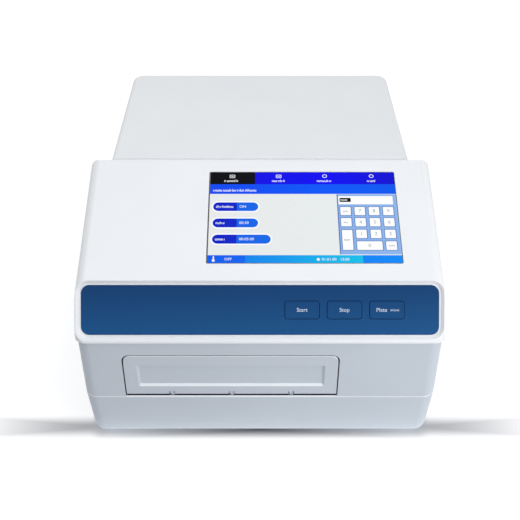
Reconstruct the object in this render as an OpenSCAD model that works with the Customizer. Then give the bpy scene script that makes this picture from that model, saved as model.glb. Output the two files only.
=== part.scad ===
// Microplate reader: a bench instrument with a sloping console, a drop-down plate door,
// a belt-driven plate carrier and a filter-wheel light path.
// Modelled as y from the front face and z from the table, then centred on its footprint.

/* [Case] */
// Width of the case at the console's rim, its widest part
case_w = 296; // [290:1:302]
// Depth of the case
case_d = 314; // [308:1:320]
// Thickness of the moulded walls
wall = 3; // [2.4:0.1:3.2]
// Height of the seam between the base and the upper covers
seam_z = 47; // [46.5:0.5:48]
// Height at which the upright front ends and the blue band begins
face_top = 110; // [108:1:116]
// How far the lower front sits back from the console's rim
rim_step = 2; // [1.5:0.1:2.4]
// Height of the rim's upright lower edge
rim_h = 2; // [1.4:0.1:2.6]
// Radius of the upright corners
corner_r = 11; // [9:0.5:13]
// Radius along the bottom edge
bottom_r = 11; // [8:0.5:12]
// How much each side of the base narrows towards the bottom
base_draft = 3; // [2:0.5:5]
// How much each side of the console narrows towards its top
console_draft = 2; // [1:0.5:3]
// Length of the sloping band
band_len = 48.3; // [46:0.1:50]
// Slope of the band above the horizontal
band_angle = 54; // [50:1:58]
// Length of the sloping console above the band
console_len = 122; // [119:1:126]
// Slope of the console above the horizontal
console_angle = 20.6; // [19:0.1:22]
// Radius along the sloping side edges of the console
console_r = 9; // [6:0.5:11]
// Radius along the side edges of the band
band_r = 2.8; // [2:0.1:3.2]
// Width of the rear cover
cover_w = 257; // [253:1:260]
// Height of the rear cover's top
cover_top = 192; // [190:0.5:192]
// Radius along the rear cover's top edges
cover_r = 5; // [4:0.5:7]
// Width and depth of the groove between the console and the rear cover
groove = 1.6; // [1:0.1:2]

/* [Band and buttons] */
// Distance from the side of the case to the blue panel
panel_side = 7; // [6.6:0.1:8]
// Height of the blue panel along the band
panel_h = 39.2; // [38:0.1:39.6]
// Thickness of the blue panel
panel_t = 1.8; // [1.4:0.1:2]
// Corner radius of the blue panel
panel_r = 6.5; // [4:0.5:9]
// Distance from the rim's edge to the blue panel
panel_margin = 5.2; // [5:0.1:5.6]
// Depth of the bed that the blue panel lies in
bed_depth = 2.4; // [1.6:0.1:2.8]
// Width of the bed's floor left showing round the blue panel
bed_strip = 1.3; // [0.8:0.1:1.5]
// Width of a button
button_w = 27; // [24:0.5:29]
// Height of a button
button_h = 13.9; // [12:0.1:16]
// Distance from one button to the next
button_pitch = 33.35; // [32:0.05:36]
// Distance from the right-hand end of the blue panel to the last button's centre
button_end = 41.2; // [38:0.1:45]
// Travel of a button
button_travel = 0.8; // [0.5:0.1:1]
// Gap round each button
button_gap = 0.35; // [0.3:0.05:0.6]

/* [Display] */
// Width of the display glass
glass_w = 156.7; // [150:0.1:160]
// Height of the display glass along the console
glass_h = 92; // [88:0.5:94]
// Thickness of the display glass
glass_t = 1.8; // [1.1:0.1:2.2]
// Place of the display's centre to the right of the centre line
glass_x = 35.6; // [30:0.1:40]
// Distance from the console's upper end to the glass
glass_margin = 14.3; // [12:0.1:16]

/* [Door] */
// Width of the plate door
door_w = 173.6; // [168:0.2:176]
// Height of the plate door above the seam
door_h = 45.5; // [44:0.5:46]
// Thickness of the plate door
door_t = 3.2; // [3:0.1:3.6]
// Radius of the door's upper corners
door_r = 6.3; // [4:0.1:9]
// Gap round the door
door_gap = 0.6; // [0.4:0.1:1]
// Place of the door's centre to the right of the centre line
door_x = -23.6; // [-26:0.2:-20]
// Margin round the panel sunk in the door
door_margin = 10.4; // [9:0.2:13]
// Depth of the panel sunk in the door
door_sink = 1.1; // [0.6:0.1:1.4]
// Radius of the hinge pin
pin_r = 1; // [0.8:0.1:1.2]
// Running clearance of shafts and pins
run_gap = 0.05; // [0.03:0.01:0.08]

/* [Plate carrier] */
// Length of a standard microplate
plate_l = 127.76; // [127.5:0.01:128]
// Width of a standard microplate
plate_w = 85.48; // [85.2:0.01:85.7]
// Clearance round the plate in its pocket
plate_gap = 0.35; // [0.25:0.05:0.5]
// Depth of the plate pocket
pocket_h = 6; // [4:0.5:7]
// Width of the ledge that the plate stands on
ledge_w = 4; // [3:0.5:5]
// Thickness of the carrier below the ledge
ledge_t = 2; // [1.6:0.2:2.4]
// Width of the carrier's frame beside the plate
frame_w = 8.8; // [8:0.2:9.6]
// Height of the carrier's underside
carrier_z = 73; // [72.5:0.5:74]
// Distance from the front face to the carrier's nose
carrier_y = 116; // [114:1:118]
// Travel of the carrier
carrier_travel = 212; // [206:1:212]
// Radius of the guide rods
rod_r = 4; // [3:0.25:5]
// Height of the guide rods
rod_z = 44; // [42:0.5:45]
// Distance of each guide rod from the carrier's centre line
rod_x = 66; // [65:0.5:67]
// Wall of a sliding bush
bush_wall = 2.5; // [2:0.1:3]
// Pitch radius of the belt pulleys
pulley_r = 8; // [7:0.25:9]
// Thickness of the drive belt
belt_t = 1.5; // [1.2:0.1:1.8]
// Width of the drive belt
belt_w = 6; // [5:0.5:7]

/* [Light path] */
// Thickness of the filter wheel
wheel_t = 7; // [5:0.5:9]
// Gap between the filter wheel and the rear cover's inside
wheel_top_gap = 11; // [8:0.5:16]
// Distance of the filters' axes from the wheel's rim
filter_inset = 11; // [9:0.5:13]
// Radius of a filter
filter_r = 6.3; // [5:0.1:7]
// Number of filter places
filter_count = 8; // [6:1:8]
// Distance between neighbouring wells
well_pitch = 9; // [8.8:0.1:9]
// Number of light channels
channels = 12; // [8:1:12]

/* [Feet and rear] */
// Height of the feet below the base
foot_h = 3; // [2:0.5:4]
// Radius of a foot
foot_r = 11; // [9:0.5:13]
// Side of the square cooling fan
fan_w = 60; // [56:1:62]
// Thickness of the cooling fan
fan_t = 15; // [12:0.5:16]
// Thickness of the rear sheet
sheet_t = 2; // [1.5:0.1:2.5]

/* [Hidden] */
$fn = 48;

white = [0.93, 0.94, 0.95];
shade_white = [0.86, 0.88, 0.91];
blue = [0.1, 0.28, 0.47];
dark = [0.08, 0.08, 0.09];
steel = [0.72, 0.73, 0.75];
aluminium = [0.8, 0.81, 0.82];
board_green = [0.1, 0.36, 0.2];

eps = 0.01;
seat = 0.3;
button_r = 2.2;
button_skirt = 3.2;
module_t = 6.5;
board_drop = wall + 9 + button_travel;

// ---- outline functions ----
function unit(v) = v / norm(v);
function cross2(u, v) = u.x * v.y - u.y * v.x;
function lines_meet(p, u, q, v) = p + u * cross2(q - p, v) / cross2(u, v);

// An outline moved inwards by d; its points run anticlockwise.
function inset_outline(pts, d) = [
    for (i = [0 : len(pts) - 1])
        let (
            n = len(pts),
            a = pts[(i + n - 1) % n],
            b = pts[i],
            c = pts[(i + 1) % n],
            u = unit(b - a),
            v = unit(c - b)
        )
        lines_meet(b + d * [-u.y, u.x], u, b + d * [-v.y, v.x], v)
];

// Points of the arc that rounds the corner b between a and c.
function corner_arc(a, b, c, r, steps) =
    let (
        u = unit(a - b),
        v = unit(c - b),
        half = acos(u * v) / 2,
        centre = b + unit(u + v) * r / sin(half),
        first = b + u * r / tan(half) - centre,
        sweep = (180 - 2 * half) * sign(cross2(first, b - centre)),
        start = atan2(first.y, first.x)
    )
    [for (k = [0 : steps]) centre + r * [cos(start + sweep * k / steps), sin(start + sweep * k / steps)]];

function rounded_outline(pts, radii, steps = 8) = [
    for (i = [0 : len(pts) - 1])
        let (
            n = len(pts),
            a = pts[(i + n - 1) % n],
            c = pts[(i + 1) % n]
        )
        each (radii[i] > 0 ? corner_arc(a, pts[i], c, radii[i], steps) : [pts[i]])
];

// ---- derived sizes ----
lower_w = case_w - 2 * rim_step;
panel_w = case_w - 2 * panel_side;
panel_seat = 0.8;
panel_top = panel_t - panel_seat;
bed_w = panel_w + 2 * bed_strip;
button_way = [button_w + 2 * button_gap, button_h + 2 * button_gap];
button_x = panel_w / 2 - button_end - button_pitch;
band_y = band_len * cos(band_angle);
band_z = face_top + band_len * sin(band_angle);
console_y = band_y + console_len * cos(console_angle);
console_z = band_z + console_len * sin(console_angle);
rim_z = face_top - rim_h;
cover_in = cover_w / 2 - wall;

pocket_l = plate_l + 2 * plate_gap;
pocket_w = plate_w + 2 * plate_gap;
carrier_w = pocket_l + 2 * frame_w;
nose_w = 5;
pocket_y = carrier_y + nose_w;
deck_end = pocket_y + pocket_w + 6;
bush_y = case_d - 84;
bush_len = 36;
bush_r = rod_r + run_gap + bush_wall;
block_w = 2 * bush_r + 5;

pin_y = rim_step + door_t;
door_foot = 1;
pin_z = seam_z + door_foot + door_t;
door_top = seam_z + door_h;
knuckle_pitch = 49.3;
knuckle_w = 4;
lug_r = 2.4;
lug_stem = 1.4;
lug_gap = 0.4;

belt_x = door_x + rod_x + 18;
belt_z = rod_z - pulley_r;
front_pulley_y = 24;
rear_pulley_y = case_d - 34;
pulley_w = belt_w + 2;

chassis_z = foot_h + wall + 4;
chassis_t = 2;
chassis_top = chassis_z + chassis_t;
chassis_w = lower_w - 2 * (wall + base_draft) - 18;
chassis_bolts = [for (x = [-1, 1], y = [20, case_d / 2 - 7, case_d - 18]) [x * (chassis_w / 2 - 11), y]];
rods_y0 = 9;
rods_y1 = case_d - 22;
support_t = 8;
supply_x1 = chassis_w / 2 - 1;
supply_x0 = belt_x + 15.6;
can_x = supply_x1 - 14;
supply_y0 = 26;
supply_y1 = 124;

bridge_y = 108;
bridge_d = 14;
bridge_x = 94;
bridge_t = 3;
bridge_z = carrier_z + ledge_t + 14.35 + 4.5;
deck_z = 97;
deck_t = 2;
deck_y0 = 126;
deck_y1 = case_d - 33;
deck_w = 2 * cover_in - 15;

wheel_x = 5;
wheel_y = case_d - 102;
wheel_low_gap = 3;
wheel_r = (cover_top - wall - wheel_top_gap - deck_z - deck_t - wheel_low_gap) / 2;
wheel_z = deck_z + deck_t + wheel_low_gap + wheel_r;
filter_orbit = wheel_r - filter_inset;
beam_x = wheel_x - filter_orbit;
lamp_y = case_d - 70;
motor_w = 35;
motor_len = 22;
filter_motor_w = 2 * (filter_orbit - 9.5);
lamp_top = wheel_z + filter_motor_w / 2 + 0.5;

sheet_y = case_d - wall - sheet_t;
opening_w = cover_w - 30;
opening_z0 = seam_z + 8;
opening_z1 = cover_top - 12;
fan_x = -70;
fan_z = 118;
fan_hole = fan_w / 2 - 5;
inlet_x = 72;
inlet_z = 84;
switch_x = 72;
switch_z = 116;
rocker_r = 8.6;
port_x = 12;
port_z = 78;

board_x1 = deck_w / 2 - 2;
board_x0 = board_x1 - 64;

// ---- shared forms ----
module placed() translate([0, -case_d / 2, 0]) children();

// Extrudes an outline drawn in (y, z) along x, centred.
module along_x(len) rotate([90, 0, 90]) linear_extrude(len, center = true) children();

// Extrudes an outline drawn in (x, z) from y0 to y1.
module along_y(y0, y1) translate([0, y1, 0]) rotate([90, 0, 0]) linear_extrude(y1 - y0) children();

module round_rect(w, h, r) {
    square([w - 2 * r, h], center = true);
    square([w, h - 2 * r], center = true);
    for (x = [-1, 1], y = [-1, 1])
        translate([x * (w / 2 - r), y * (h / 2 - r)]) circle(r);
}

// A block from corner a to corner b.
module block(a, b) translate(a) cube(b - a);

module round_block(w, d, h, r) linear_extrude(h) round_rect(w, d, r);

// A rod along x from x0 to x1.
module rod_x_dir(x0, x1, r) translate([x0, 0, 0]) rotate([0, 90, 0]) cylinder(h = x1 - x0, r = r);

// A rod along y from y0 to y1.
module rod_y_dir(y0, y1, r) translate([0, y0, 0]) rotate([-90, 0, 0]) cylinder(h = y1 - y0, r = r);

// Frames whose x-y plane is the band or the console, with z pointing out.
module on_band() translate([0, 0, face_top]) rotate([band_angle, 0, 0]) children();
module on_console() translate([0, band_y, band_z]) rotate([console_angle, 0, 0]) children();

// The floor of the blue panel's bed, about the middle of the panel.
module on_bed() on_band() translate([0, panel_margin + panel_h / 2, -bed_depth]) children();

module on_button(i) on_bed() translate([button_x + i * button_pitch, 0, 0]) children();

module on_glass()
    on_console() translate([glass_x, console_len - glass_margin - glass_h / 2, 0]) children();

// ---- case ----
// Plan of the case: the full depth, with rounded upright corners.
module case_plan(w, inset, front)
    translate([0, (front + case_d) / 2])
        round_rect(w - 2 * inset, case_d - front - 2 * inset, corner_r - inset);

// Section across a slope, whose upper corners are rounded.
module crown(w, r, depth) {
    translate([-w / 2, -depth]) square([w, depth - r]);
    translate([-w / 2 + r, -depth]) square([w - 2 * r, depth]);
    for (x = [-1, 1]) translate([x * (w / 2 - r), -r]) circle(r);
}

// Side view of the console: rim, band and the sloping top.
function console_outline() = [
    [0, rim_z], [console_y, rim_z], [console_y, console_z], [band_y, band_z], [0, face_top],
];

// Side view of the hollow, which runs out below the rim.
function hollow_outline() =
    let (foot = rim_z - 3 * wall)
    [[0, foot], [console_y, foot], [console_y, console_z], [band_y, band_z], [0, face_top]];

// Section of the console from the front: its sides lean in towards the top.
module lean_section(inset) {
    half = case_w / 2 - inset;
    polygon([
        [-half, rim_z - 30], [half, rim_z - 30], [half, rim_z],
        [half - console_draft, console_z + 1], [-half + console_draft, console_z + 1], [-half, rim_z],
    ]);
}

module console_shell_form() {
    intersection() {
        linear_extrude(console_z + 1) case_plan(case_w, 0, 0);
        along_y(-1, console_y + 1) lean_section(0);
        along_x(case_w + 2) polygon(rounded_outline(console_outline(), [0, 0, 2, 0.6, 0.8]));
        on_console() along_y(-60, 200) crown(case_w - 2 * console_draft, console_r, 200);
        on_band() along_y(-60, 200) crown(case_w - console_draft / 2, band_r, 200);
    }
}

module console_cavity_form() {
    intersection() {
        translate([0, 0, -1]) linear_extrude(console_z + 1) case_plan(case_w, wall, 0);
        along_y(-1, console_y + 1) lean_section(wall);
        along_x(case_w + 2) polygon(inset_outline(hollow_outline(), wall));
        on_console() translate([0, 0, -wall])
            along_y(-60, 200) crown(case_w - 2 * console_draft - 2 * wall, console_r - wall, 200);
        // the wall stays whole under the panel's bed
        on_bed() translate([-case_w, -200, -400 - wall]) cube([2 * case_w, 500, 400]);
    }
}

// A rounded opening whose sides slope outwards at 45 degrees; z = 0 is its floor.
module sloped_bed(w, h, r, rise) {
    section = [[-h / 2, 0], [h / 2, 0], [h / 2 + rise, rise], [-h / 2 - rise, rise]];
    across = [[-w / 2, 0], [w / 2, 0], [w / 2 + rise, rise], [-w / 2 - rise, rise]];
    along_x(w - 2 * r) polygon(section);
    along_y(r - h / 2, h / 2 - r) polygon(across);
    for (x = [-1, 1], y = [-1, 1])
        translate([x * (w / 2 - r), y * (h / 2 - r), 0]) cylinder(h = rise, r1 = r, r2 = r + rise);
}

// The base tub's form: a plan with rounded corners, drafted and rounded at the bottom.
module base_form(inset, top) {
    across = [
        [-lower_w / 2 + base_draft, foot_h], [lower_w / 2 - base_draft, foot_h],
        [lower_w / 2, seam_z], [-lower_w / 2, seam_z],
    ];
    along = [
        [rim_step + base_draft / 2, foot_h], [case_d - base_draft / 2, foot_h],
        [case_d, seam_z], [rim_step, seam_z],
    ];
    r = bottom_r - inset;
    intersection() {
        linear_extrude(top) case_plan(lower_w, inset, rim_step);
        along_y(-1, case_d + 1)
            union() {
                polygon(rounded_outline(inset_outline(across, inset), [r, r, 0, 0]));
                translate([-lower_w / 2 + inset, seam_z - inset - 1])
                    square([lower_w - 2 * inset, top - seam_z + inset + 1]);
            }
        along_x(case_w)
            union() {
                polygon(rounded_outline(inset_outline(along, inset), [r, r, 0, 0]));
                translate([rim_step + inset, seam_z - inset - 1])
                    square([case_d - rim_step - 2 * inset, top - seam_z + inset + 1]);
            }
    }
}

module base_shell() {
    color(shade_white) {
        difference() {
            base_form(0, seam_z);
            difference() {
                base_form(wall, seam_z + 5);
                // ledge that carries the narrower rear cover
                for (x = [-1, 1])
                    translate([x * (cover_in - 2 + 20), (console_y - 3 + case_d) / 2, seam_z - wall / 2])
                        cube([40, case_d - console_y + 3, wall], center = true);
                // bosses for the chassis
                for (p = chassis_bolts)
                    translate([p.x, p.y, foot_h]) cylinder(h = chassis_z - foot_h, r = 4);
            }
            for (p = chassis_bolts)
                translate([p.x, p.y, foot_h + 1.5]) cylinder(h = 10, r = 1.25);
            // air slots under the power supply
            for (i = [0 : 6])
                translate([supply_x0 + 22, supply_y0 + 30 + i * 10, 0])
                    linear_extrude(foot_h + wall + 1) round_rect(44, 3.5, 1.7);
            // seats for the feet
            foot_places() translate([0, 0, foot_h - 1]) cylinder(h = 2, r = foot_r + 0.2);
        }
        hinge_lugs();
    }
}

// Lugs on the base's front wall that hold the hinge pin.
module hinge_lugs() {
    for (i = [-1 : 1])
        translate([door_x + i * knuckle_pitch, pin_y, pin_z])
            difference() {
                union() {
                    rod_x_dir(-knuckle_w / 2, knuckle_w / 2, lug_r);
                    block([-knuckle_w / 2, -lug_stem, seam_z - pin_z - 6], [knuckle_w / 2, lug_stem, 0]);
                }
                rod_x_dir(-knuckle_w, knuckle_w, pin_r + 0.02);
            }
}

// The door's outline, which the opening repeats with a gap; z = 0 is the door's lower edge.
module door_shape(grow, foot) {
    w = door_w + 2 * grow;
    h = door_h - door_foot + grow;
    translate([-w / 2, -foot]) square([w, h - door_r + foot]);
    translate([-w / 2 + door_r, -foot]) square([w - 2 * door_r, h + foot]);
    for (x = [-1, 1]) translate([x * (w / 2 - door_r), h - door_r]) circle(door_r);
}

module front_cover() {
    color(shade_white)
        difference() {
            translate([0, 0, seam_z])
                linear_extrude(rim_z - seam_z)
                    difference() {
                        intersection() {
                            case_plan(lower_w, 0, rim_step);
                            translate([-case_w, 0]) square([2 * case_w, console_y]);
                        }
                        intersection() {
                            case_plan(lower_w, wall, rim_step);
                            translate([-case_w, 0]) square([2 * case_w, console_y - wall]);
                        }
                        translate([-cover_in, console_y - wall - 1]) square([2 * cover_in, wall + 2]);
                    }
            translate([door_x, 0, seam_z + door_foot])
                along_y(-1, rim_step + wall + 1) door_shape(door_gap, 3);
        }
}

module console_housing() {
    color(white)
        difference() {
            console_shell_form();
            console_cavity_form();
            // way through to the rear cover
            block(
                [-cover_in, console_y - wall - 1, rim_z - 1],
                [cover_in, console_y + 1, cover_top - wall]
            );
            // window and its step
            on_glass() translate([0, 0, -glass_t]) round_block(glass_w + 0.6, glass_h + 0.6, 20, 1.5);
            on_glass() translate([0, 0, -20]) round_block(glass_w - 4, glass_h - 4, 40, 1);
            // bed of the blue panel, the seat in its floor and the ways for the buttons
            on_bed()
                sloped_bed(bed_w, panel_h + 2 * bed_strip, panel_r + bed_strip, bed_depth + 2);
            on_bed() translate([0, 0, -panel_seat])
                round_block(panel_w + 0.3, panel_h + 0.3, panel_seat + 1, panel_r + 0.15);
            for (i = [-1 : 1]) on_button(i) translate([0, 0, -12])
                round_block(button_way.x, button_way.y, 14, button_r + button_gap);
        }
}

module cover_form(inset) {
    intersection() {
        translate([0, 0, seam_z - (inset > 0 ? 1 : 0)])
            linear_extrude(cover_top)
                translate([0, console_y - (inset > 0 ? 20 : 0)])
                    difference() {
                        translate([0, (case_d - console_y) / 2 - 20 + (inset > 0 ? 20 : 0)])
                            round_rect(
                                cover_w - 2 * inset,
                                case_d - console_y + 40 - 2 * inset,
                                corner_r - inset
                            );
                        if (inset == 0) translate([-case_w, -100 + seat]) square([2 * case_w, 100]);
                    }
        along_y(-100, case_d + 1)
            translate([0, cover_top - inset]) crown(cover_w - 2 * inset, cover_r - inset, 300);
        translate([0, 0, cover_top - inset]) rotate([0, 0, 90])
            along_y(-200, 200)
                union() {
                    translate([-100, -300]) square([case_d - inset - cover_r + inset + 100, 300]);
                    translate([0, -300]) square([case_d - inset, 300 - cover_r + inset]);
                    translate([case_d - cover_r, -cover_r + inset]) circle(cover_r - inset);
                }
    }
}

module rear_cover() {
    color(white)
        difference() {
            cover_form(0);
            cover_form(wall);
            block(
                [-opening_w / 2, case_d - wall - 1, opening_z0],
                [opening_w / 2, case_d + 1, opening_z1]
            );
            block(
                [-cover_w, console_y - 1, cover_top - groove],
                [cover_w, console_y + groove, cover_top + 1]
            );
        }
}

module rear_panel() {
    color(aluminium)
        difference() {
            block(
                [-opening_w / 2 - 6, sheet_y - seat, opening_z0 - 6],
                [opening_w / 2 + 6, sheet_y + sheet_t - seat, opening_z1 + 4]
            );
            translate([0, sheet_y, 0]) {
                translate([fan_x, 0, fan_z]) rod_y_dir(-5, 5, fan_w / 2 - 3);
                for (x = [-1, 1], z = [-1, 1])
                    translate([fan_x + x * fan_hole, 0, fan_z + z * fan_hole]) rod_y_dir(-5, 5, 2.1);
                translate([inlet_x, 0, inlet_z]) cube([27.4, 10, 20.2], center = true);
                translate([switch_x, 0, switch_z]) cube([19.6, 10, 13.2], center = true);
                port_cuts();
                // air slots beside the fan
                for (i = [0 : 6]) translate([-8 + i * 9, 0, 140]) cube([3.5, 10, 44], center = true);
            }
        }
}

module port_cuts() {
    for (i = [0 : 1]) translate([port_x + i * 20 - 34, 0, port_z]) cube([13.6, 10, 6.2], center = true);
    translate([port_x + 10, 0, port_z]) cube([12.6, 10, 11.4], center = true);
}

module foot_places()
    for (x = [-1, 1], y = [32, case_d - 32]) translate([x * (lower_w / 2 - 33), y, 0]) children();

module feet() {
    color(dark)
        foot_places() {
            cylinder(h = foot_h - 1, r1 = foot_r - 1.2, r2 = foot_r);
            translate([0, 0, foot_h - 1 - eps]) cylinder(h = 1 + eps, r = foot_r);
        }
}

// ---- band, buttons and display ----
module button_panel() {
    color(blue)
        difference() {
            on_bed() translate([0, 0, -panel_seat]) round_block(panel_w, panel_h, panel_t, panel_r);
            for (i = [-1 : 1]) on_button(i) translate([0, 0, -5])
                round_block(button_way.x, button_way.y, 10, button_r + button_gap);
        }
}

module button(i) {
    foot = wall + 2;
    collar_t = 1.2;
    color(blue)
        on_button(i) {
            translate([0, 0, -foot]) round_block(button_w, button_h, foot + panel_top + 0.2, button_r);
            translate([0, 0, -wall - seat - collar_t])
                round_block(button_w + button_skirt, button_h + button_skirt, collar_t, button_r);
            translate([0, 0, -foot - 3]) cylinder(h = 4, r = 2.2);
        }
}

module start_button() button(-1);
module stop_button() button(0);
module plate_button() button(1);

module button_board() {
    color(board_green) on_button(0) translate([0, 0, -board_drop - 1.6]) round_block(104, 26, 1.6, 2);
}

module button_switches() {
    color(dark)
        for (i = [-1 : 1]) on_button(i) {
            translate([0, 0, -board_drop]) round_block(6, 6, 3.2, 0.5);
            translate([0, 0, -board_drop + 3.2 - eps]) cylinder(h = 0.7, r = 1.6);
        }
}

module display_glass() {
    color(dark) on_glass() translate([0, 0, -glass_t]) round_block(glass_w, glass_h, glass_t, 1.2);
}

module display_module() {
    // stands a little clear of the console's underside
    color(steel) on_glass() translate([0, 0, -glass_t - module_t])
        round_block(glass_w + 6, glass_h + 6, module_t + glass_t - wall - 0.1, 1);
}

module display_bracket() {
    color(steel)
        on_glass()
            translate([0, 0, -glass_t - 8])
                difference() {
                    round_block(glass_w + 12, glass_h + 10, 1.5, 3);
                    translate([0, 0, -1]) round_block(glass_w - 30, glass_h - 30, 5, 6);
                }
}

module display_board() {
    on_glass() translate([0, 0, -glass_t - 13]) {
        color(board_green) round_block(90, 50, 1.6, 2);
        color(steel)
            for (x = [-1, 1], y = [-1, 1]) translate([x * 41, y * 21, 1.6]) cylinder(h = 4.9, r = 2.5);
    }
}

// ---- door ----
module plate_door() {
    color(shade_white)
        difference() {
            union() {
                translate([door_x, 0, pin_z])
                    along_y(rim_step, pin_y)
                        intersection() {
                            translate([0, seam_z + door_foot - pin_z]) door_shape(0, 0);
                            translate([-door_w, 0]) square([2 * door_w, door_h]);
                        }
                translate([door_x, pin_y, pin_z]) rod_x_dir(-door_w / 2, door_w / 2, door_t);
            }
            // sunk panel
            translate([door_x, 0, (seam_z + door_foot + door_top) / 2])
                along_y(0, rim_step + door_sink)
                    round_rect(door_w - 2 * door_margin, door_h - 2 * door_margin, 2.4);
            translate([door_x, pin_y, pin_z]) {
                rod_x_dir(-door_w, door_w, pin_r + run_gap);
                // room for the lugs, and for their stems as the door swings down
                for (i = [-1 : 1])
                    translate([i * knuckle_pitch, 0, 0]) {
                        rod_x_dir(-knuckle_w / 2 - lug_gap, knuckle_w / 2 + lug_gap, lug_r + lug_gap);
                        block(
                            [-knuckle_w / 2 - lug_gap, -door_t - 1, -door_t - 1],
                            [knuckle_w / 2 + lug_gap, lug_stem + lug_gap, lug_stem + lug_gap]
                        );
                    }
            }
        }
}

module door_hinge_pin() {
    color(steel) translate([door_x, pin_y, pin_z]) rod_x_dir(-door_w / 2 + 1, door_w / 2 - 1, pin_r);
}

// ---- chassis and guides ----
module chassis_plate() {
    color(steel)
        translate([0, 0, chassis_z])
            linear_extrude(chassis_t)
                difference() {
                    translate([0, case_d / 2 + 1]) round_rect(chassis_w, case_d - 20, 12);
                    for (p = chassis_bolts) translate(p) circle(1.7);
                    translate([door_x, 200]) round_rect(80, 60, 6);
                    translate([-10, 60]) round_rect(60, 40, 6);
                }
}

module guide_rods() {
    color(aluminium)
        for (x = [-1, 1]) translate([door_x + x * rod_x, 0, rod_z]) rod_y_dir(rods_y0, rods_y1, rod_r);
}

module rod_supports() {
    color(aluminium)
        for (x = [-1, 1], y = [rods_y0, rods_y1 - support_t])
            translate([door_x + x * rod_x, y, 0])
                difference() {
                    along_y(0, support_t)
                        union() {
                            translate([-block_w / 2, chassis_top]) square([block_w, rod_z - chassis_top]);
                            translate([0, rod_z]) circle(rod_r + 3.5);
                        }
                    translate([0, 0, rod_z]) rod_y_dir(-1, support_t + 1, rod_r + 0.02);
                }
}

// ---- plate carrier ----
module carrier_plan() {
    translate([door_x, (carrier_y + deck_end) / 2]) round_rect(carrier_w, deck_end - carrier_y, 4);
    translate([door_x, (deck_end - 8 + bush_y + bush_len) / 2])
        round_rect(2 * rod_x + block_w, bush_y + bush_len - deck_end + 8, 3);
}

module plate_carrier() {
    mid_y = pocket_y + pocket_w / 2;
    color(dark)
        difference() {
            union() {
                translate([0, 0, carrier_z]) linear_extrude(ledge_t + 2) carrier_plan();
                translate([0, 0, carrier_z])
                    linear_extrude(ledge_t + pocket_h)
                        translate([door_x, (carrier_y + deck_end) / 2])
                            round_rect(carrier_w, deck_end - carrier_y, 4);
                for (x = [-1, 1])
                    translate([door_x + x * rod_x, 0, 0])
                        along_y(bush_y, bush_y + bush_len)
                            union() {
                                translate([-block_w / 2, rod_z]) square([block_w, carrier_z - rod_z + 1]);
                                translate([0, rod_z]) circle(block_w / 2);
                            }
            }
            translate([door_x, mid_y, carrier_z + ledge_t]) round_block(pocket_l, pocket_w, 20, 2.5);
            translate([door_x, mid_y, carrier_z - 1])
                round_block(pocket_l - 2 * ledge_w, pocket_w - 2 * ledge_w, 20, 4);
            // finger scoops at the sides of the pocket
            for (x = [-1, 1]) translate([door_x + x * carrier_w / 2, mid_y, carrier_z + ledge_t + 1])
                round_block(2 * frame_w + 6, 26, 20, 6);
            // lightening window behind the pocket
            translate([door_x, (deck_end + bush_y + bush_len) / 2, carrier_z - 1])
                round_block(92, 34, 20, 6);
            for (x = [-1, 1]) translate([door_x + x * rod_x, 0, rod_z])
                rod_y_dir(bush_y - 1, bush_y + bush_len + 1, bush_r + 0.02);
        }
}

module carrier_bushes() {
    color("goldenrod")
        for (x = [-1, 1], y = [bush_y, bush_y + bush_len - 12])
            translate([door_x + x * rod_x, y, rod_z])
                difference() {
                    rod_y_dir(0, 12, bush_r);
                    rod_y_dir(-1, 13, rod_r + run_gap);
                }
}

module belt_clamp() {
    x0 = door_x + rod_x + block_w / 2;
    color(aluminium)
        difference() {
            block([x0, bush_y + 18, rod_z - 6], [belt_x + belt_w / 2 + 2.4, bush_y + 32, rod_z + 6]);
            block(
                [belt_x - belt_w / 2 - 0.4, bush_y + 10, rod_z - belt_t / 2 - 0.4],
                [belt_x + belt_w / 2 + 0.4, bush_y + 40, rod_z + belt_t / 2 + 0.4]
            );
        }
}

// Leaf that pushes the plate into its corner.
module plate_spring() {
    x = door_x - pocket_l / 2 - frame_w + 1.6;
    color(steel)
        translate([x, pocket_y + pocket_w + 1.4, carrier_z + ledge_t + pocket_h]) {
            block([0, 0, 0], [24, 3.6, 0.8]);
            block([20, -3, 0], [24, 0.5, 0.8]);
        }
}

module sensor_flag() {
    color(steel)
        translate([door_x - rod_x, bush_y + bush_len, 0]) block([-0.8, 0, 56], [0.8, 9, 66]);
}

module home_sensor() {
    color(dark)
        translate([door_x - rod_x, bush_y + bush_len + 3, 0])
            difference() {
                union() {
                    block([-16, 0, chassis_top], [-7, 14, 54 + eps]);
                    block([-16, 0, 54], [7, 14, 68]);
                }
                block([-2, -1, 50], [2, 8, 70]);
            }
}

// ---- belt drive ----
module stepper(w, len) {
    difference() {
        intersection() {
            block([-w / 2, 0, -w / 2], [w / 2, len, w / 2]);
            rod_y_dir(-1, len + 1, w * 0.66);
        }
        for (x = [-1, 1], z = [-1, 1]) translate([x * w * 0.37, 0, z * w * 0.37]) rod_y_dir(-1, 4, 1.3);
    }
    rod_y_dir(-2, eps, w * 0.31);
}

module drive_motor() {
    color(dark)
        translate([belt_x + 9.6, rear_pulley_y, belt_z]) rotate([0, 0, -90]) {
            stepper(motor_w, motor_len);
            rod_y_dir(-14, 0, 2.5);
        }
}

module motor_bracket() {
    x0 = belt_x + 7.3;
    w = motor_w / 2 + 1;
    color(aluminium)
        difference() {
            union() {
                block([x0, rear_pulley_y - w, chassis_top], [x0 + 2, rear_pulley_y + w, belt_z + w]);
                block([x0, rear_pulley_y - w, chassis_top], [x0 + 26, rear_pulley_y + w, chassis_top + 2]);
            }
            translate([x0 - 1, rear_pulley_y, belt_z]) rod_x_dir(0, 5, motor_w * 0.31 + 0.2);
        }
}

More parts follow.
